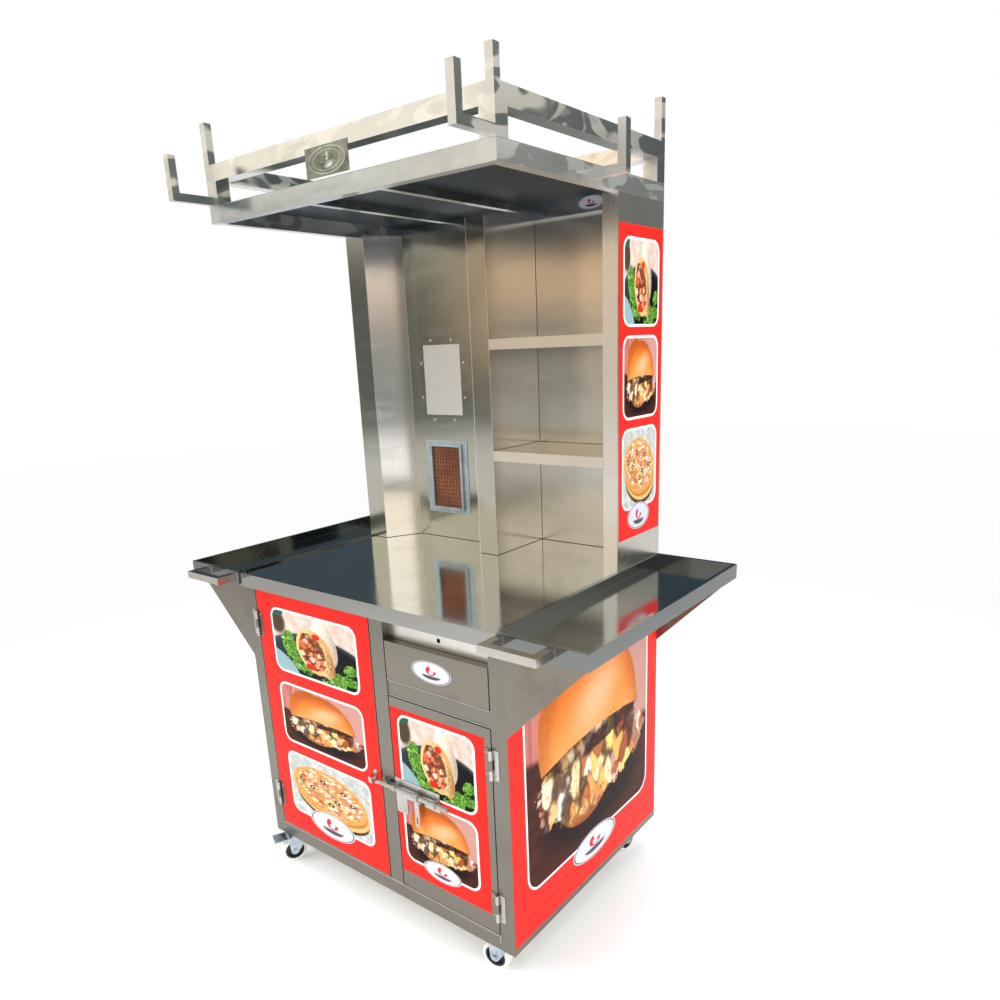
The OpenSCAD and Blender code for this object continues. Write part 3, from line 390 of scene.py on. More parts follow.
def burgerPicture():
    p = Picture("burgerPicture")
    planks = p.step(p.noise(p.spot * (5, 0.5, 1), 1.4, 2.0), 0.3, 0.7)
    wall = p.mix(planks, (0.46, 0.17, 0.15), (0.66, 0.32, 0.28))
    p.cover(None, p.mix(p.step(p.x, -1.2, 1.2), wall, (0.62, 0.38, 0.34)))
    grainy = p.noise(p.spot * (1.2, 7, 1), 2.0, 4.0)
    table = p.mix(grainy, (0.030, 0.008, 0.007), (0.19, 0.060, 0.036))
    p.cover(1 - p.step(p.y + p.x * 0.12, -0.06, 0.02), table)
    p.cover(p.inside(p.oval((0.02, -0.60), (1.02, 0.34)), 0.25) * 0.85, (0.012, 0.005, 0.004))
    lower = p.mix(p.step(p.y, -0.88, -0.55), (0.26, 0.085, 0.03), (0.66, 0.30, 0.10))
    p.cover(p.inside(p.oval((-0.18, -0.52), (0.50, 0.26), 0, 0.06)), lower)
    warp = p.noise(p.spot, 2.4, 2.0) - 0.5
    chunks = p.spot * (1.25, 0.85, 1) + warp * 0.5 + p.fine * 0.10
    bits = p.split(p.pieces(chunks, 4.4))[0]
    filling = p.ramp(bits, [
        (0.0, (0.40, 0.12, 0.05)), (0.14, (0.80, 0.40, 0.14)), (0.30, (0.95, 0.74, 0.28)),
        (0.44, (0.96, 0.88, 0.80)), (0.55, (0.92, 0.54, 0.22)), (0.68, (0.44, 0.14, 0.06)),
        (0.80, (0.96, 0.92, 0.88)), (0.93, (0.94, 0.68, 0.30))])
    shade = p.step(p.fine + p.rough * 0.6, -0.34, 0.04)
    filling = p.mix(shade, p.mix(0.55, filling, (0.10, 0.03, 0.015)), filling)
    filling = p.mix(p.step(p.pieces(chunks, 4.4, 0), 0.46, 0.72) * 0.8, filling, (0.05, 0.014, 0.008))
    p.cover(p.inside(p.oval((0.04, -0.27), (1.16, 0.42), 2, 0.40), 0.03), filling)
    gap = p.inside(p.oval((0.02, -0.02), (1.02, 0.14), 2, 0.25), 0.06) * p.step(p.rough, -0.16, 0.06)
    p.cover(gap * 0.9, (0.045, 0.012, 0.007))
    dome = p.oval((0.02, -0.06), (1.04, 1.0), 0, 0.015)
    bulge = p.oval((-0.42, 0.24), (0.66, 0.74), -8, 0.015)
    under = p.oval((0.0, -0.40), (1.9, 0.44), 2, 0.03)
    bun = p.inside(dome.lesser(bulge).greater(0 - under).greater(-0.30 - p.y), 0.015)
    crust = p.ramp(p.step(p.y + p.rough * 0.10, -0.02, 0.95), [
        (0.0, (0.86, 0.42, 0.15)), (0.2, (0.85, 0.33, 0.080)), (0.62, (0.83, 0.28, 0.052)),
        (1.0, (0.62, 0.18, 0.035))])
    crust = p.mix(p.step(dome, -0.30, 0.02) * 0.55, crust, (0.40, 0.12, 0.02))
    crust = p.mix(p.inside(p.oval((0.12, 0.34), (0.44, 0.20), 14), 0.9) * 0.55, crust, (0.98, 0.74, 0.56))
    crust = p.mix(p.step(p.fine, -0.1, 0.25) * 0.22, crust, (0.90, 0.42, 0.15))
    dots = p.pieces(p.spot * (1, 1.4, 1) + p.fine * 0.1, 7.0, 0) - 0.10
    flecks = p.inside(dots, 0.04) * p.step(p.rough, -0.02, 0.06)
    p.cover(bun, p.mix(flecks * 0.85, crust, (0.26, 0.08, 0.02)))
    return p.finishUp()


def wrapPicture():
    p = Picture("wrapPicture")
    p.cover(None, p.mix(p.step(p.rough, -0.2, 0.2), (0.66, 0.52, 0.46), (0.80, 0.70, 0.64)))
    plate = p.mix(p.step(p.x - p.y, -1.0, 1.0), (0.045, 0.075, 0.085), (0.012, 0.014, 0.018))
    p.cover(p.inside(p.oval((0.10, -0.55), (1.75, 0.98)), 0.02), plate)
    p.cover(p.inside(p.oval((0.10, -0.55), (1.75, 0.98)) * p.oval((0.10, -0.57), (1.69, 0.94)), 0.01) * 0.6,
            (0.16, 0.22, 0.24))
    p.cover(p.inside(p.oval((-1.40, -0.95), (0.95, 0.62), -30), 0.03), (0.36, 0.50, 0.54))
    p.cover(p.inside(p.oval((-1.15, 0.62), (0.26, 0.40), 10, 0.1), 0.25), (0.13, 0.10, 0.055))
    p.cover(p.inside(p.oval((-1.12, 0.95), (0.20, 0.14), 10, 0.2), 0.05), (0.07, 0.17, 0.14))
    frill = p.noise(p.spot, 9.0, 3.0, 0.6, 1.4)
    leaf = p.ramp(frill, [(0.34, (0.012, 0.050, 0.008)), (0.46, (0.10, 0.30, 0.030)),
                          (0.58, (0.27, 0.46, 0.11)), (0.70, (0.62, 0.76, 0.36))])
    for centre, size, turn in (((-0.78, -0.06), (0.24, 0.42), 12), ((-0.45, -0.62), (0.40, 0.22), -20),
                               ((0.78, -0.76), (0.52, 0.22), 12), ((1.10, -0.36), (0.22, 0.18), 0)):
        p.cover(p.inside(p.oval(centre, size, turn, 0.9), 0.04), leaf)
    skin = p.mix(p.step(p.x * 0.8 + p.fine * 0.5, 0.1, 0.75), (0.84, 0.78, 0.70), (0.46, 0.38, 0.31))
    p.cover(p.inside(p.oval((0.36, 0.28), (0.36, 0.74), 14, 0.02), 0.03), skin)
    opening = p.mix(p.step(p.x, -0.5, 0.5), (0.86, 0.62, 0.34), (0.70, 0.44, 0.20))
    p.cover(p.inside(p.oval((0.02, -0.10), (0.56, 0.74), 20, 0.04), 0.02), opening)
    fold = p.mix(p.step(p.x + p.fine, 0.2, 0.6), (0.84, 0.64, 0.38), (0.46, 0.26, 0.11))
    p.cover(p.inside(p.oval((0.30, -0.30), (0.30, 0.56), 16, 0.03), 0.03), fold)
    bits = p.split(p.pieces(p.spot + p.fine * 0.22, 5.6))[0]
    meat = p.ramp(bits, [(0.0, (0.42, 0.07, 0.03)), (0.2, (0.68, 0.20, 0.09)), (0.4, (0.86, 0.42, 0.20)),
                         (0.55, (0.94, 0.82, 0.68)), (0.66, (0.86, 0.12, 0.05)), (0.78, (0.72, 0.34, 0.15)),
                         (0.90, (0.94, 0.76, 0.52))])
    gaps = p.step(p.pieces(p.spot + p.fine * 0.22, 5.6, 0), 0.35, 0.62)
    meat = p.mix(gaps * 0.8, meat, (0.12, 0.02, 0.01))
    p.cover(p.inside(p.oval((-0.06, -0.12), (0.40, 0.60), 18, 0.16), 0.03), meat)
    p.cover(p.inside(p.oval((0.10, 0.42), (0.12, 0.10), 0, 0.2), 0.04), (0.80, 0.06, 0.02))
    p.cover(p.inside(p.oval((-0.16, -0.62), (0.14, 0.10), 0, 0.2), 0.04), (0.78, 0.05, 0.02))
    return p.finishUp()


def pizzaPicture():
    p = Picture("pizzaPicture")
    p.cover(None, p.mix(p.step(p.rough + p.fine * 0.5, -0.15, 0.25), (0.52, 0.54, 0.53), (0.76, 0.77, 0.75)))
    rings = p.step(p.noise(p.spot * (9, 1.5, 1), 2.0, 4.0), 0.35, 0.65)
    bark = p.mix(rings, (0.035, 0.020, 0.014), (0.24, 0.14, 0.08))
    p.cover(p.inside(p.oval((0.04, -0.34), (1.18, 0.64), -8), 0.02), bark)
    p.cover(p.inside(p.oval((0.04, -0.22), (1.20, 0.66), -8), 0.02), (0.80, 0.58, 0.26))
    p.cover(p.inside(p.oval((0.0, -0.08), (1.20, 0.70), -8), 0.02), (0.62, 0.30, 0.09))
    p.cover(p.inside(p.oval((-0.03, 0.04), (1.22, 0.74), -8, 0.03), 0.02),
            p.mix(p.step(p.fine, -0.1, 0.2), (0.88, 0.52, 0.20), (0.62, 0.24, 0.06)))
    scraps = p.spot * (1, 1.6, 1) + p.fine * 0.26
    bits = p.split(p.pieces(scraps, 7.5))[0]
    topping = p.ramp(bits, [
        (0.0, (0.94, 0.90, 0.78)), (0.20, (0.88, 0.44, 0.14)), (0.34, (0.94, 0.88, 0.72)),
        (0.46, (0.66, 0.12, 0.04)), (0.56, (0.92, 0.64, 0.26)), (0.70, (0.94, 0.92, 0.84)),
        (0.84, (0.30, 0.36, 0.10)), (0.92, (0.86, 0.46, 0.18))])
    topping = p.mix(p.step(p.pieces(scraps, 7.5, 0), 0.40, 0.66) * 0.7, topping, (0.58, 0.20, 0.06))
    p.cover(p.inside(p.oval((-0.03, 0.08), (1.08, 0.62), -8, 0.06), 0.03), topping)
    for centre in ((-0.92, 0.20), (-0.58, 0.06), (0.24, -0.10), (0.02, -0.28), (0.74, 0.02), (-0.20, 0.40),
                   (0.46, 0.30)):
        ring = p.oval(centre, (0.095, 0.062))
        p.cover(p.inside(ring, 0.1), (0.02, 0.018, 0.016))
        p.cover(p.inside(ring + 0.55, 0.1), (0.84, 0.70, 0.50))
    return p.finishUp()


def badgePicture():
    p = Picture("badgePicture")
    p.cover(None, (0.74, 0.75, 0.82))
    rim = p.oval((0, 0), (1.22, 0.93))
    p.cover(p.inside(rim * rim - 0.0006, 0.0008), (0.10, 0.10, 0.12))
    flame = p.oval((0.0, 0.16), (0.34, 0.42)).greater(0 - p.oval((0.20, 0.50), (0.30, 0.36)))
    p.cover(p.inside(flame, 0.04), (0.72, 0.05, 0.08))
    p.cover(p.inside(p.oval((0.0, 0.02), (0.15, 0.20)), 0.05), (0.74, 0.75, 0.82))
    bowl = p.oval((0.0, -0.28), (0.62, 0.36)).greater(p.y + 0.30)
    p.cover(p.inside(bowl, 0.03), (0.16, 0.16, 0.19))
    return p.finishUp()


def whitePrint():
    made = Finish("whiteBorder", specular=0.5, coat=0.25, coatRoughness=0.08)
    fine = made.noise(made.place(), 300.0, 2.0)
    made.give(baseColor=made.mix(fine * 0.3, (0.88, 0.87, 0.87), (0.78, 0.77, 0.77)))
    made.give(roughness=0.24 + fine * 0.08)
    return made.material


prints = {"burger": burgerPicture(), "wrap": wrapPicture(), "pizza": pizzaPicture(), "badge": badgePicture(),
          "white": whitePrint()}

others = {
    "zinc": zinc(), "tyre": whiteTyre(), "hub": moulded("hubPlastic", (0.020, 0.022, 0.026), 0.42),
    "knob": moulded("knobPlastic", (0.012, 0.012, 0.013), 0.36), "film": redFilm(),
    "valve": brass("valveBrass", (0.62, 0.42, 0.15), (0.36, 0.23, 0.09), 0.22),
    "plate": brass("plateBrass", (0.36, 0.37, 0.32), (0.17, 0.18, 0.14), 0.22),
    "burner": heatedSteel(), "tile": ceramic(), "wire": moulded("meshWire", (0.035, 0.033, 0.032), 0.5),
}
looks = {**steels, **others, "roof": roofSteel()}

print("finishes on the frame's pieces")
finishOf = {
    "tube": "push_handles", "post": "upper_posts", "canopy": "canopy_frame",
    "rack": "rack_posts rack_rails hooks",
    "cabinet": "base_frame side_panels left_door_panel right_door_panel",
    "drawer": "drawer_front gussets", "satin": "blank_plate", "panel": "lock_panel",
    "roof": "roof_sheet",
    "sheet": "upper_side_panels back_panel upper_back", "tray": "tray_left tray_right",
    "mirror": "reflector shelf_strip",
    "counter": "countertop",
    "inside": "floor_sheet partition drawer_runners drawer_box shelves burner_housing",
    "plain": "latch_plate bolt_rod bolt_hasp bolt_keeper bolt_saddle door_fittings burner_screws",
    "zinc": "caster_plates fork_front_left fork_front_right fork_rear_left fork_rear_right"
            " pedal_front_left pedal_rear_right",
    "tyre": "tyre_front_left tyre_front_right tyre_rear_left tyre_rear_right",
    "hub": "hub_front_left hub_front_right hub_rear_left hub_rear_right",
    "knob": "gas_knob", "film": "wall_films left_door_film right_door_film", "valve": "gas_valve",
    "plate": "name_plate", "burner": "burner_frame", "tile": "burner_tile", "wire": "burner_mesh",
}
for look, names in finishOf.items():
    for name in names.split():
        part = frame["nodes"][name]
        part.data.materials.clear()
        part.data.materials.append(looks[look])


def newPiece(name, mesh, look):
    if isinstance(mesh, bmesh.types.BMesh):
        data = bpy.data.meshes.new(name)
        mesh.to_mesh(data)
        mesh.free()
        mesh = data
    mesh.materials.append(look)
    piece = bpy.data.objects.new(name, mesh)
    bpy.context.scene.collection.objects.link(piece)
    return piece


def settle(piece, body):
    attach(piece, body)
    return piece


print("pictures on the films")
frameLow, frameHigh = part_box("base_frame")
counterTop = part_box("countertop")[1].z
tubes = {"frame": 0.040, "canopy": 0.025, "rack": 0.038, "handle": 0.019}
sheetThick = 0.0015
printSizes = {"round": 0.030, "wide": 0.18, "border": 0.0065, "lift": 0.00006,
              "cornerSteps": 10, "ovalSteps": 64}
facings = {"front": (0, -1, 0), "side": (1, 0, 0)}  # the way a print looks
printFaces = {"film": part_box("left_door_film")[0].y, "drawer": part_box("drawer_front")[0].y,
              "side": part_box("wall_films")[1].x, "canopy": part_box("canopy_frame")[1].y - tubes["canopy"]}
printPlaces = {  # kind, body, face, middle (across or depth, then drop below the counter), half size
    "leftWrap": ("wrap", "left_door", "film", (-0.1815, 0.1765), (0.1725, 0.0935)),
    "leftBurger": ("burger", "left_door", "film", (-0.1815, 0.3965), (0.1725, 0.0935)),
    "leftPizza": ("pizza", "left_door", "film", (-0.182, 0.620), (0.174, 0.099)),
    "leftBadge": ("badge", "left_door", "film", (-0.185, 0.717), (0.094, 0.040)),
    "rightWrap": ("wrap", "right_door", "film", (0.240, 0.380), (0.124, 0.102)),
    "rightBurger": ("burger", "right_door", "film", (0.237, 0.597), (0.124, 0.097)),
    "rightBadge": ("badge", "right_door", "film", (0.236, 0.689), (0.063, 0.027)),
    "drawerBadge": ("badge", "drawer", "drawer", (0.243, 0.143), (0.062, 0.027)),
    "sideBurger": ("burger", "cart", "side", (0.358, 0.3915), (0.298, 0.3065)),
    "sideBadge": ("badge", "cart", "side", (0.366, 0.717), (0.108, 0.042)),
    "upperWrap": ("wrap", "cart", "side", (0.602, -0.7095), (0.091, 0.1015)),
    "upperBurger": ("burger", "cart", "side", (0.601, -0.487), (0.091, 0.101)),
    "upperPizza": ("pizza", "cart", "side", (0.5985, -0.2615), (0.0915, 0.1035)),
    "upperBadge": ("badge", "cart", "side", (0.595, -0.136), (0.058, 0.035)),
    "canopyBadge": ("badge", "cart", "canopy", (0.263, -0.925), (0.039, 0.0165)),
}


def roundedCard(halfW, halfH, radius):  # outline in metres, corner by corner
    steps = printSizes["cornerSteps"]
    points = []
    for k, (sx, sy) in enumerate(((1, 1), (-1, 1), (-1, -1), (1, -1))):
        for i in range(steps + 1):
            a = math.radians(90 * k + 90 * i / steps)
            points.append((sx * (halfW - radius) + radius * math.cos(a),
                           sy * (halfH - radius) + radius * math.sin(a)))
    return points


def ovalCard(halfW, halfH):
    steps = printSizes["ovalSteps"]
    turns = [2 * math.pi * i / steps for i in range(steps)]
    return [(halfW * math.cos(a), halfH * math.sin(a)) for a in turns]


def card(name, outline, half, kind, body, centre, facing, lift):
    sheet = bmesh.new()  # drawn in the print's own units, then scaled to its real size
    unit = (half[0] / 1.3, half[1])
    sheet.faces.new([sheet.verts.new((x / unit[0], y / unit[1], 0)) for x, y in outline])
    piece = newPiece(name, sheet, prints[kind])
    out, high = Vector(facings[facing]), Vector((0, 0, 1))
    turn = Matrix((high.cross(out), high, out)).transposed()
    spot = Matrix.Translation(Vector(centre) + out * lift) @ turn.to_4x4()
    piece.matrix_world = spot @ Matrix.Diagonal((unit[0], unit[1], 1, 1))
    return settle(piece, body)


def printOn(name, kind, body, face, middle, half):  # half is the outer size, with the white border
    along, level = middle[0], counterTop - middle[1]
    lift, border = printSizes["lift"], printSizes["border"]
    facing = "side" if face == "side" else "front"
    centre = (along, printFaces[face], level)
    if facing == "side":
        centre = (printFaces[face], frameLow.y + along, level)
    if kind == "badge":
        card(name, ovalCard(*half), half, kind, body, centre, facing, 3 * lift)
        return
    radius = min(printSizes["round"] * max(1, half[0] / printSizes["wide"]), half[1] * 0.4)
    inner = (half[0] - border, half[1] - border)
    card(name + "Border", roundedCard(*half, radius), half, "white", body, centre, facing, lift)
    card(name, roundedCard(*inner, radius - border), inner, kind, body, centre, facing, 2 * lift)


for name, place in printPlaces.items():
    printOn(name, *place)

print("screws and rivets")
headShape = {"round": 16, "up": 5, "slotHalf": 0.25, "slotDeep": 0.35, "slotFrom": 0.4}


def gather(name, shapes, look, body):  # many small shapes as one piece
    whole = bmesh.new()
    for shape in shapes:
        shape(whole)
    for face in whole.faces:
        face.smooth = True
    return settle(newPiece(name, whole, look), body)


def dome(at, out, radius, height, slotted=False):  # a low round head that looks along out
    around, up = headShape["round"], headShape["up"]
    turns = [2 * math.pi * k / around for k in range(around)]

    def sunk(x, z):  # how far the screw's slot lowers this point
        return headShape["slotDeep"] if abs(x) < headShape["slotHalf"] and z > headShape["slotFrom"] else 0

    def draw(whole):
        turn = Vector(out).to_track_quat("Z", "Y").to_matrix().to_4x4()
        spot = Matrix.Translation(at) @ turn @ Matrix.Diagonal((radius, radius, height, 1))
        rows = []
        for level in range(up):
            rise = math.pi / 2 * level / up
            far = math.cos(rise)
            places = [(far * math.cos(a), far * math.sin(a), math.sin(rise)) for a in turns]
            if slotted:
                places = [(x, y, z - sunk(x, z)) for x, y, z in places]
            rows.append([whole.verts.new(spot @ Vector(place)) for place in places])
        crown = whole.verts.new(spot @ Vector((0, 0, 1 - headShape["slotDeep"] if slotted else 1)))
        for low, high in zip(rows, rows[1:]):
            for k in range(around):
                whole.faces.new((low[k - 1], low[k], high[k], high[k - 1]))
        for k in range(around):
            whole.faces.new((rows[-1][k - 1], rows[-1][k], crown))
    return draw


hingeScrew = {"radius": 0.0026, "height": 0.0011, "reach": 0.013, "film": 0.0004,
              "tall": 0.075, "holes": (0.14, 0.86),
              "left": (0.062, 0.181), "right": (0.041, 0.362)}  # above the door's foot, below the counter


def hingeScrews(side, face, reach):  # reach is the distance from the pin's axis, out over the leaf
    axis = next(j for j in frame["joints"] if j["name"] == side + "_door_hinge")["pos_m"][0]
    foot, drop = hingeScrew[side]
    lows = (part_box(side + "_door_panel")[0].z + foot, counterTop - drop)
    heights = [z + k * hingeScrew["tall"] for z in lows for k in hingeScrew["holes"]]
    size = (hingeScrew["radius"], hingeScrew["height"])
    return [dome((axis + reach, face, z), (0, -1, 0), *size, True) for z in heights]


for side, way in (("left", 1), ("right", -1)):
    reach = hingeScrew["reach"] * way
    leafFace = frameLow.y - sheetThick  # a leaf is as thick as the sheet
    doorLeaf = leafFace - (hingeScrew["film"] if side == "left" else 0)
    onPost, onDoor = hingeScrews(side, leafFace, -reach), hingeScrews(side, doorLeaf, reach)
    gather(side + "PostScrews", onPost, steels["plain"], "cart")
    gather(side + "LeafScrews", onDoor, steels["plain"], side + "_door")

latchRivet = {"radius": 0.0030, "height": 0.0014, "out": 0.0024, "left": 0.020, "right": 0.018,
              "drops": (0.007, 0.045), "foot": (0.010, 0.028), "up": 0.010}
latchLow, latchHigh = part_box("latch_plate")
latchSides = (latchLow.x + latchRivet["left"], latchHigh.x - latchRivet["right"])
latchSpots = [(x, latchHigh.z - drop) for x in latchSides for drop in latchRivet["drops"]]
latchSpots += [(latchLow.x + across, latchLow.z + latchRivet["up"]) for across in latchRivet["foot"]]
latchFace = frameLow.y - latchRivet["out"]
latchSize = (latchRivet["radius"], latchRivet["height"])
gather("latchRivets", [dome((x, latchFace, z), (0, -1, 0), *latchSize) for x, z in latchSpots],
       steels["plain"], "right_door")

print("welds and bright edges")
weld = {"shelf": 0.0026, "handle": 0.0020, "frame": 0.0016, "rack": 0.0015, "inset": 0.001, "cover": 0.0005,
        "lip": (0.026, 0.003), "lipEnd": 0.040, "lowShelfLip": 0.028, "handleNear": 0.457,
        "handleRise": 0.018, "below": 0.020, "above": 0.010, "crossSet": 0.002, "cross": (0.038, 0.002),
        "crossDrop": 0.003}
beads = {"spacing": 1.1, "uneven": 0.15, "turn": 2.3, "flat": 0.6}  # shares of a bead's radius
middleLeft, middleRight = 0.0905, frameHigh.x - tubes["frame"]  # the drawer's opening
welds = []


def beadRow(start, end, radius):  # overlapping beads of a short weld
    start, end = Vector(start), Vector(end)
    count = max(3, int((end - start).length / (radius * beads["spacing"])))
    out = (end - start).orthogonal()
    spots = [start.lerp(end, i / (count - 1)) for i in range(count)]
    sizes = [radius * (1 + beads["uneven"] * math.sin(beads["turn"] * i)) for i in range(count)]
    return [dome(spot, out, size, radius * beads["flat"]) for spot, size in zip(spots, sizes)]


def uprightWeld(x, y, start, end, radius):
    welds.extend(beadRow((x, y, start), (x, y, end), radius))


shelfLow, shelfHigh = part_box("shelves")
for top in (shelfHigh.z, shelfLow.z + weld["lowShelfLip"]):
    for x in (shelfLow.x + weld["inset"], shelfHigh.x - weld["lipEnd"]):
        uprightWeld(x, shelfLow.y - weld["cover"], top - weld["lip"][0], top - weld["lip"][1], weld["shelf"])
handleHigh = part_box("push_handles")[1]
handleFace = handleHigh.y - weld["inset"]
for sign in (-1, 1):
    for reach in (weld["handleNear"], handleHigh.x - tubes["handle"]):
        for over in (weld["inset"], tubes["handle"] - weld["inset"]):
            uprightWeld(sign * (reach + over), handleFace, handleHigh.z - weld["handleRise"],
                        handleHigh.z - weld["inset"], weld["handle"])
for x in (-middleRight, middleRight):
    low, high = frameLow.z + tubes["frame"], frameHigh.z - tubes["frame"]
    uprightWeld(x, frameLow.y, low - weld["inset"], low - weld["below"], weld["frame"])
    uprightWeld(x, frameLow.y, high - weld["inset"], high + weld["above"], weld["frame"])
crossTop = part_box("drawer_front")[0].z - weld["crossDrop"]
for x in (middleLeft, middleRight):
    uprightWeld(x, frameLow.y + weld["crossSet"], crossTop - weld["cross"][0], crossTop - weld["cross"][1],
                weld["frame"])
rackLow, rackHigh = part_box("rack_posts")
rackNear, rackFar = rackHigh.x - tubes["rack"], rackHigh.x - weld["inset"]
for sign in (-1, 1):
    for z in (rackLow.z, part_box("rack_rails")[0].z):
        y = rackLow.y + weld["inset"]
        welds += beadRow((sign * rackNear, y, z), (sign * rackFar, y, z), weld["rack"])
gather("weldBeads", welds, steels["bright"], "cart")


def thinLines(name, runs, width, look):  # thin square bars along open runs of points
    whole = bmesh.new()
    for run in runs:
        for start, end in zip(run, run[1:]):
            start, end = Vector(start), Vector(end)
            along = (end - start).normalized()
            first = along.orthogonal().normalized() if abs(along.z) < 0.5 else Vector((1, 0, 0))
            second = along.cross(first)
            corners = [(i * first + k * second) * width / 2 for i, k in ((-1, -1), (1, -1), (1, 1), (-1, 1))]
            low, high = [[whole.verts.new(at + c) for c in corners] for at in (start, end)]
            whole.faces.new(low[::-1])
            whole.faces.new(high)
            for k in range(4):
                whole.faces.new((low[k - 1], low[k], high[k], high[k - 1]))
    return settle(newPiece(name, whole, look), "cart")


lineWidths = {"edge": 0.0012, "seam": 0.0013, "fold": 0.0010, "out": 0.0003, "touch": 0.0004,
              "lip": 0.0283, "start": 0.003}
bottomTop, frontFace = frameLow.z + tubes["frame"], frameLow.y - lineWidths["out"]
# painted highlights: thin bright bars along the bottom rail's top edge and the cross rail's top and bottom
# edges
paintedEdgeHighlights = [[(-middleRight, frontFace, bottomTop), (middleRight, frontFace, bottomTop)]]
for z in (crossTop, crossTop - tubes["frame"]):
    y = frontFace + weld["crossSet"]
    paintedEdgeHighlights.append([(middleLeft, y, z), (middleRight, y, z)])
thinLines("railEdgeHighlights", paintedEdgeHighlights, lineWidths["edge"], steels["bright"])

bends = [v.co for v in frame["nodes"]["reflector"].data.vertices]
bayLow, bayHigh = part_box("reflector")
stripLow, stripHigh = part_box("shelf_strip")
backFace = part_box("upper_back")[0].y
blankLow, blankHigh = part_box("blank_plate")
bayFace = blankLow.y - sheetThick  # the sheet's face round the blank plate
near, leftEnd = 1e-4, -0.2  # how exactly a bend lies in a face, where the left flange ends at most
flangeEdge = max(v.x for v in bends if abs(v.y - bayLow.y) < near and v.x < leftEnd)
bayEdges = [v.x for v in bends if abs(v.y - bayFace) < near]
footPlan = [(bayLow.x, bayLow.y), (flangeEdge, bayLow.y), (min(bayEdges), bayFace), (max(bayEdges), bayFace),
            (stripLow.x, stripLow.y), (stripHigh.x, stripLow.y), (stripHigh.x, backFace),
            (-bayLow.x, backFace)]
foot, head = counterTop + lineWidths["touch"], bayHigh.z - lineWidths["touch"]
# painted shade: thin dark lines in the inner corners, where the bay's sheets meet the counter and each other
shadedSeams = [[(x, y, foot) for x, y in footPlan], [(stripHigh.x, backFace, foot), (stripHigh.x, backFace, head)]]
shelfStart = shelfLow.y + lineWidths["start"]
shadedSeams += [[(stripHigh.x, shelfStart, z), (stripHigh.x, backFace, z), (shelfHigh.x, backFace, z)]
          for z in (shelfHigh.z + lineWidths["out"], shelfLow.z + lineWidths["lip"])]
seamShade = moulded("seamShade", (0.018, 0.018, 0.018), 0.6)
thinLines("seamShadeLines", shadedSeams, lineWidths["seam"], seamShade)
# painted highlights: thin bright bars up the folds of the reflector and the shelf strip
foldPlan = ((flangeEdge, bayLow.y), (min(bayEdges), bayFace), (stripHigh.x, stripLow.y),
            (stripLow.x, stripLow.y))
foldHighlights = [[(x, y, foot), (x, y, head)] for x, y in foldPlan]
thinLines("foldHighlightLines", foldHighlights, lineWidths["fold"], steels["bright"])

spotWeld = {"radius": 0.004, "height": 0.0008, "above": 0.006, "beside": 0.004, "across": 0.040, "up": 0.060}
spots = [(x, z) for z in (blankLow.z - spotWeld["above"], blankHigh.z + spotWeld["above"])
         for x in (blankLow.x + spotWeld["across"], blankHigh.x - spotWeld["across"])]
spots += [(x, z) for x in (blankLow.x - spotWeld["beside"], blankHigh.x + spotWeld["beside"])
          for z in (blankLow.z + spotWeld["up"], blankHigh.z - spotWeld["up"])]
spotSize = (spotWeld["radius"], spotWeld["height"])
gather("spotWelds", [dome((x, bayFace, z), (0, -1, 0), *spotSize) for x, z in spots],
       steels["sheet"], "cart")

print("name plate")
plate = {"outer": (0.060, 0.0275, 0.0026, 0.0009), "inner": (0.045, 0.0205, 0.0016, 0.0008), "steps": 72,
         "raise": 0.0008, "bowl": (0.020, 0.013, -0.003), "flame": (0.0075, 0.010, 0.009),
         "rivet": (0.0022, 0.0012), "rivetIn": 0.005}  # rings: half width, half height, width, depth


def ovalRing(middle, halfW, halfH, width, depth):  # a flat raised ring on the plate's face
    turns = [2 * math.pi * i / plate["steps"] for i in range(plate["steps"])]

    def draw(whole):
        rows = []
        for grow, out in ((0, 0), (0, depth), (-width, depth), (-width, 0)):
            rows.append([whole.verts.new((middle.x + (halfW + grow) * math.cos(a), middle.y - out,
                                          middle.z + (halfH + grow) * math.sin(a))) for a in turns])
        for a, b in zip(rows, rows[1:]):
            for i in range(len(turns)):
                after = (i + 1) % len(turns)
                whole.faces.new((a[i], a[after], b[after], b[i]))
    return draw


def raisedShape(points, face, depth):
    def draw(whole):
        front = [whole.verts.new((x, face - depth, z)) for x, z in points]
        back = [whole.verts.new((x, face, z)) for x, z in points]
        whole.faces.new(front)
        for i in range(len(points)):
            after = (i + 1) % len(points)
            whole.faces.new((front[i], back[i], back[after], front[after]))
    return draw


plateLow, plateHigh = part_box("name_plate")
middle = (plateLow + plateHigh) / 2
middle.y = plateLow.y
bowlWide, bowlDeep, bowlUp = plate["bowl"]
bowlTurns = [math.pi + math.pi * i / 16 for i in range(17)]
bowl = [(middle.x + bowlWide * math.cos(a), middle.z + bowlUp + bowlDeep * math.sin(a)) for a in bowlTurns]
flameWide, flameTall, flameUp = plate["flame"]
flameTurns = [2 * math.pi * i / 24 for i in range(24)]
flame = [(middle.x + flameWide * math.sin(a) * (1 - 0.35 * math.cos(a)),
          middle.z + flameUp + flameTall * math.cos(a)) for a in flameTurns]
emblem = [ovalRing(middle, *plate["outer"]), ovalRing(middle, *plate["inner"]),
          raisedShape(bowl, plateLow.y, plate["raise"]), raisedShape(flame, plateLow.y, plate["raise"])]
raisedBrass = brass("raisedBrass", (0.66, 0.66, 0.58), (0.40, 0.40, 0.32), 0.20)
gather("plateEmblem", emblem, raisedBrass, "cart")
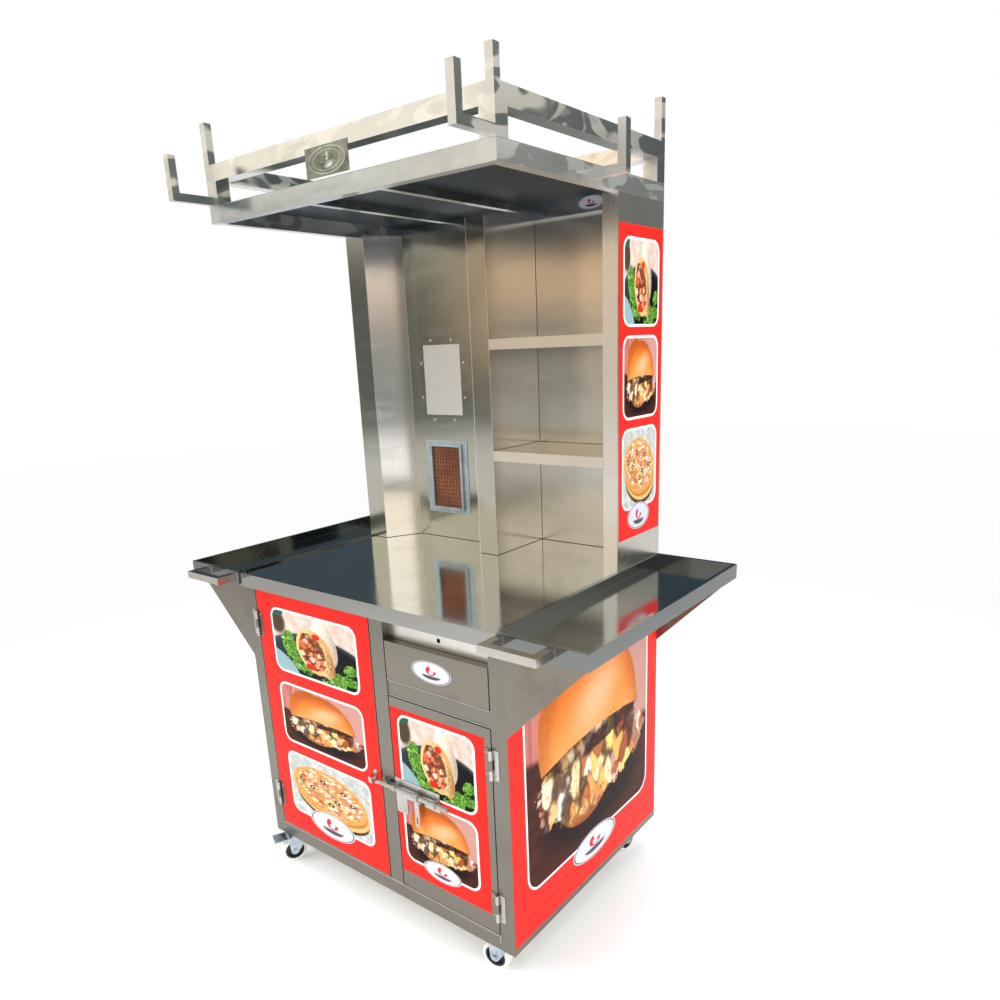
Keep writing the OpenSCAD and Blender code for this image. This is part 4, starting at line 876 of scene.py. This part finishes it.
rivets = [dome((x, plateLow.y, z), (0, -1, 0), *plate["rivet"])
          for x in (plateLow.x + plate["rivetIn"], plateHigh.x - plate["rivetIn"])
          for z in (plateLow.z + plate["rivetIn"], plateHigh.z - plate["rivetIn"])]
gather("plateRivets", rivets, others["plate"], "cart")

print("floor, light and camera")
studio = {"floor": 12.0, "floorSides": 96, "bright": (1.4, 3.6), "aim": (0, 0, 1.0)}
softboxes = {  # power, width and height, place
    "keyLight": (150, (2.6, 2.6), (-2.6, -3.6, 3.6)),
    "fillLight": (75, (2.2, 3.0), (3.6, -1.2, 2.2)),
    "topLight": (150, (3.0, 3.0), (0.4, 0.6, 4.6)),
}
skyLook = {"low": (0.17, 0.19, 0.185), "glow": (1.20, 1.12, 0.94), "high": (1.00, 1.03, 1.05),
           "edge": (0.09, 0.17), "lean": 0.22, "open": (0.80, 0.62, 0.50), "shade": (0.055, 0.078, 0.092),
           "patch": (0.44, 0.48, 0.47), "lamp": (1.30, 0.88, 0.56), "lampWay": (-0.52, -0.85, 0.09)}


def studioFloor():
    made = Finish("studioFloor", specular=0.1, roughness=0.9)
    away = made.node("ShaderNodeVectorMath", {"operation": "LENGTH"}, {0: made.place()}, 1)
    far = made.step(away, *studio["bright"])
    cloud = made.noise(made.place(), 0.6, 2.0) * 0.1
    tone = made.mix(cloud, (0.80, 0.80, 0.80), (0.70, 0.70, 0.70))
    made.give(baseColor=made.mix(far, tone, (0.0, 0.0, 0.0)))
    made.feed(made.shader.inputs["Emission Color"], made.mix(far, (0.16, 0.16, 0.16), (0.97, 0.97, 0.97)))
    made.shader.inputs["Emission Strength"].default_value = 1.0
    ground = bmesh.new()
    bmesh.ops.create_circle(ground, cap_ends=True, segments=studio["floorSides"], radius=studio["floor"])
    newPiece("studioFloor", ground, made.material)


def softbox(name, power, size, at):
    data = bpy.data.lights.new(name, "AREA")
    data.shape = "RECTANGLE"
    data.size, data.size_y = size
    data.energy = power
    lamp = bpy.data.objects.new(name, data)
    bpy.context.scene.collection.objects.link(lamp)
    lamp.location = at
    lamp.rotation_euler = (Vector(studio["aim"]) - Vector(at)).to_track_quat("-Z", "Y").to_euler()
    lamp.visible_glossy = False


class Sky(Finish):  # the same node helpers on the world's tree
    def __init__(self, name):
        self.world = bpy.data.worlds.new(name)
        self.world.use_nodes = True
        self.tree = self.world.node_tree


def world():
    sky = Sky("studioWorld")
    way = sky.node("ShaderNodeTexCoord")
    x, y, z = sky.split(way)
    level = z - y.greater(0.0) * skyLook["lean"]
    above = sky.step(level + sky.noise(way, 1.6, 1.0) * 0.06 - 0.03, *skyLook["edge"])
    light = sky.mix(sky.step(level, 0.16, 0.60), skyLook["glow"], skyLook["high"])
    side = sky.step(x * 0.72 - y * 0.70, 0.55, 0.95) * sky.step(z, -0.02, 0.10)
    dim = sky.mix(side, skyLook["low"], skyLook["open"])
    towards = [axis * part for axis, part in zip((x, y, z), skyLook["lampWay"])]
    warmLight = sky.step(towards[0] + towards[1] + towards[2], 0.978, 0.999)
    light = sky.mix(warmLight * 0.5, light, skyLook["lamp"])
    dim = sky.mix(warmLight * 0.8, dim, skyLook["lamp"])
    patch = sky.step(sky.noise(way, 6.5, 3.0), 0.50, 0.55)
    dim = sky.mix(patch * 0.55, dim, skyLook["patch"])
    behind = sky.step(y * 0.66 - x * 0.75, 0.50, 0.80) * (1 - sky.step(z, 0.52, 0.66))
    seen = sky.node("ShaderNodeLightPath")  # the camera itself sees plain white
    whole = sky.mix(behind, sky.mix(above, dim, light), skyLook["shade"])
    background = sky.tree.nodes["Background"]
    sky.feed(background.inputs[0], sky.mix(seen, whole, (1.0, 1.0, 1.0)))
    background.inputs[1].default_value = 1.0
    bpy.context.scene.world = sky.world


studioFloor()
world()
for name, values in softboxes.items():
    softbox(name, *values)

bpy.context.scene.view_settings.view_transform = "Standard"
view = {"at": (1.4106, -1.5150, 1.5017), "azimuth": 38.7527, "elevation": -15.8166, "roll": -2.4603,
        "lens": 28.03, "shift": (0.0046, 0.0678)}


def camera():
    az, el, roll = (math.radians(view[k]) for k in ("azimuth", "elevation", "roll"))
    forward = Vector((-math.sin(az) * math.cos(el), math.cos(az) * math.cos(el), math.sin(el)))
    right = Vector((math.cos(az), math.sin(az), 0))
    up = right.cross(forward)
    side = right * math.cos(roll) + up * math.sin(roll)
    over = up * math.cos(roll) - right * math.sin(roll)
    data = bpy.data.cameras.new("camera")
    data.sensor_width, data.lens = 36, view["lens"]
    data.shift_x, data.shift_y = view["shift"]
    data.clip_end = 200
    made = bpy.data.objects.new("camera", data)
    made.matrix_world = Matrix.Translation(view["at"]) @ Matrix((side, over, -forward)).transposed().to_4x4()
    bpy.context.scene.collection.objects.link(made)
    bpy.context.scene.camera = made


camera()
print("done")
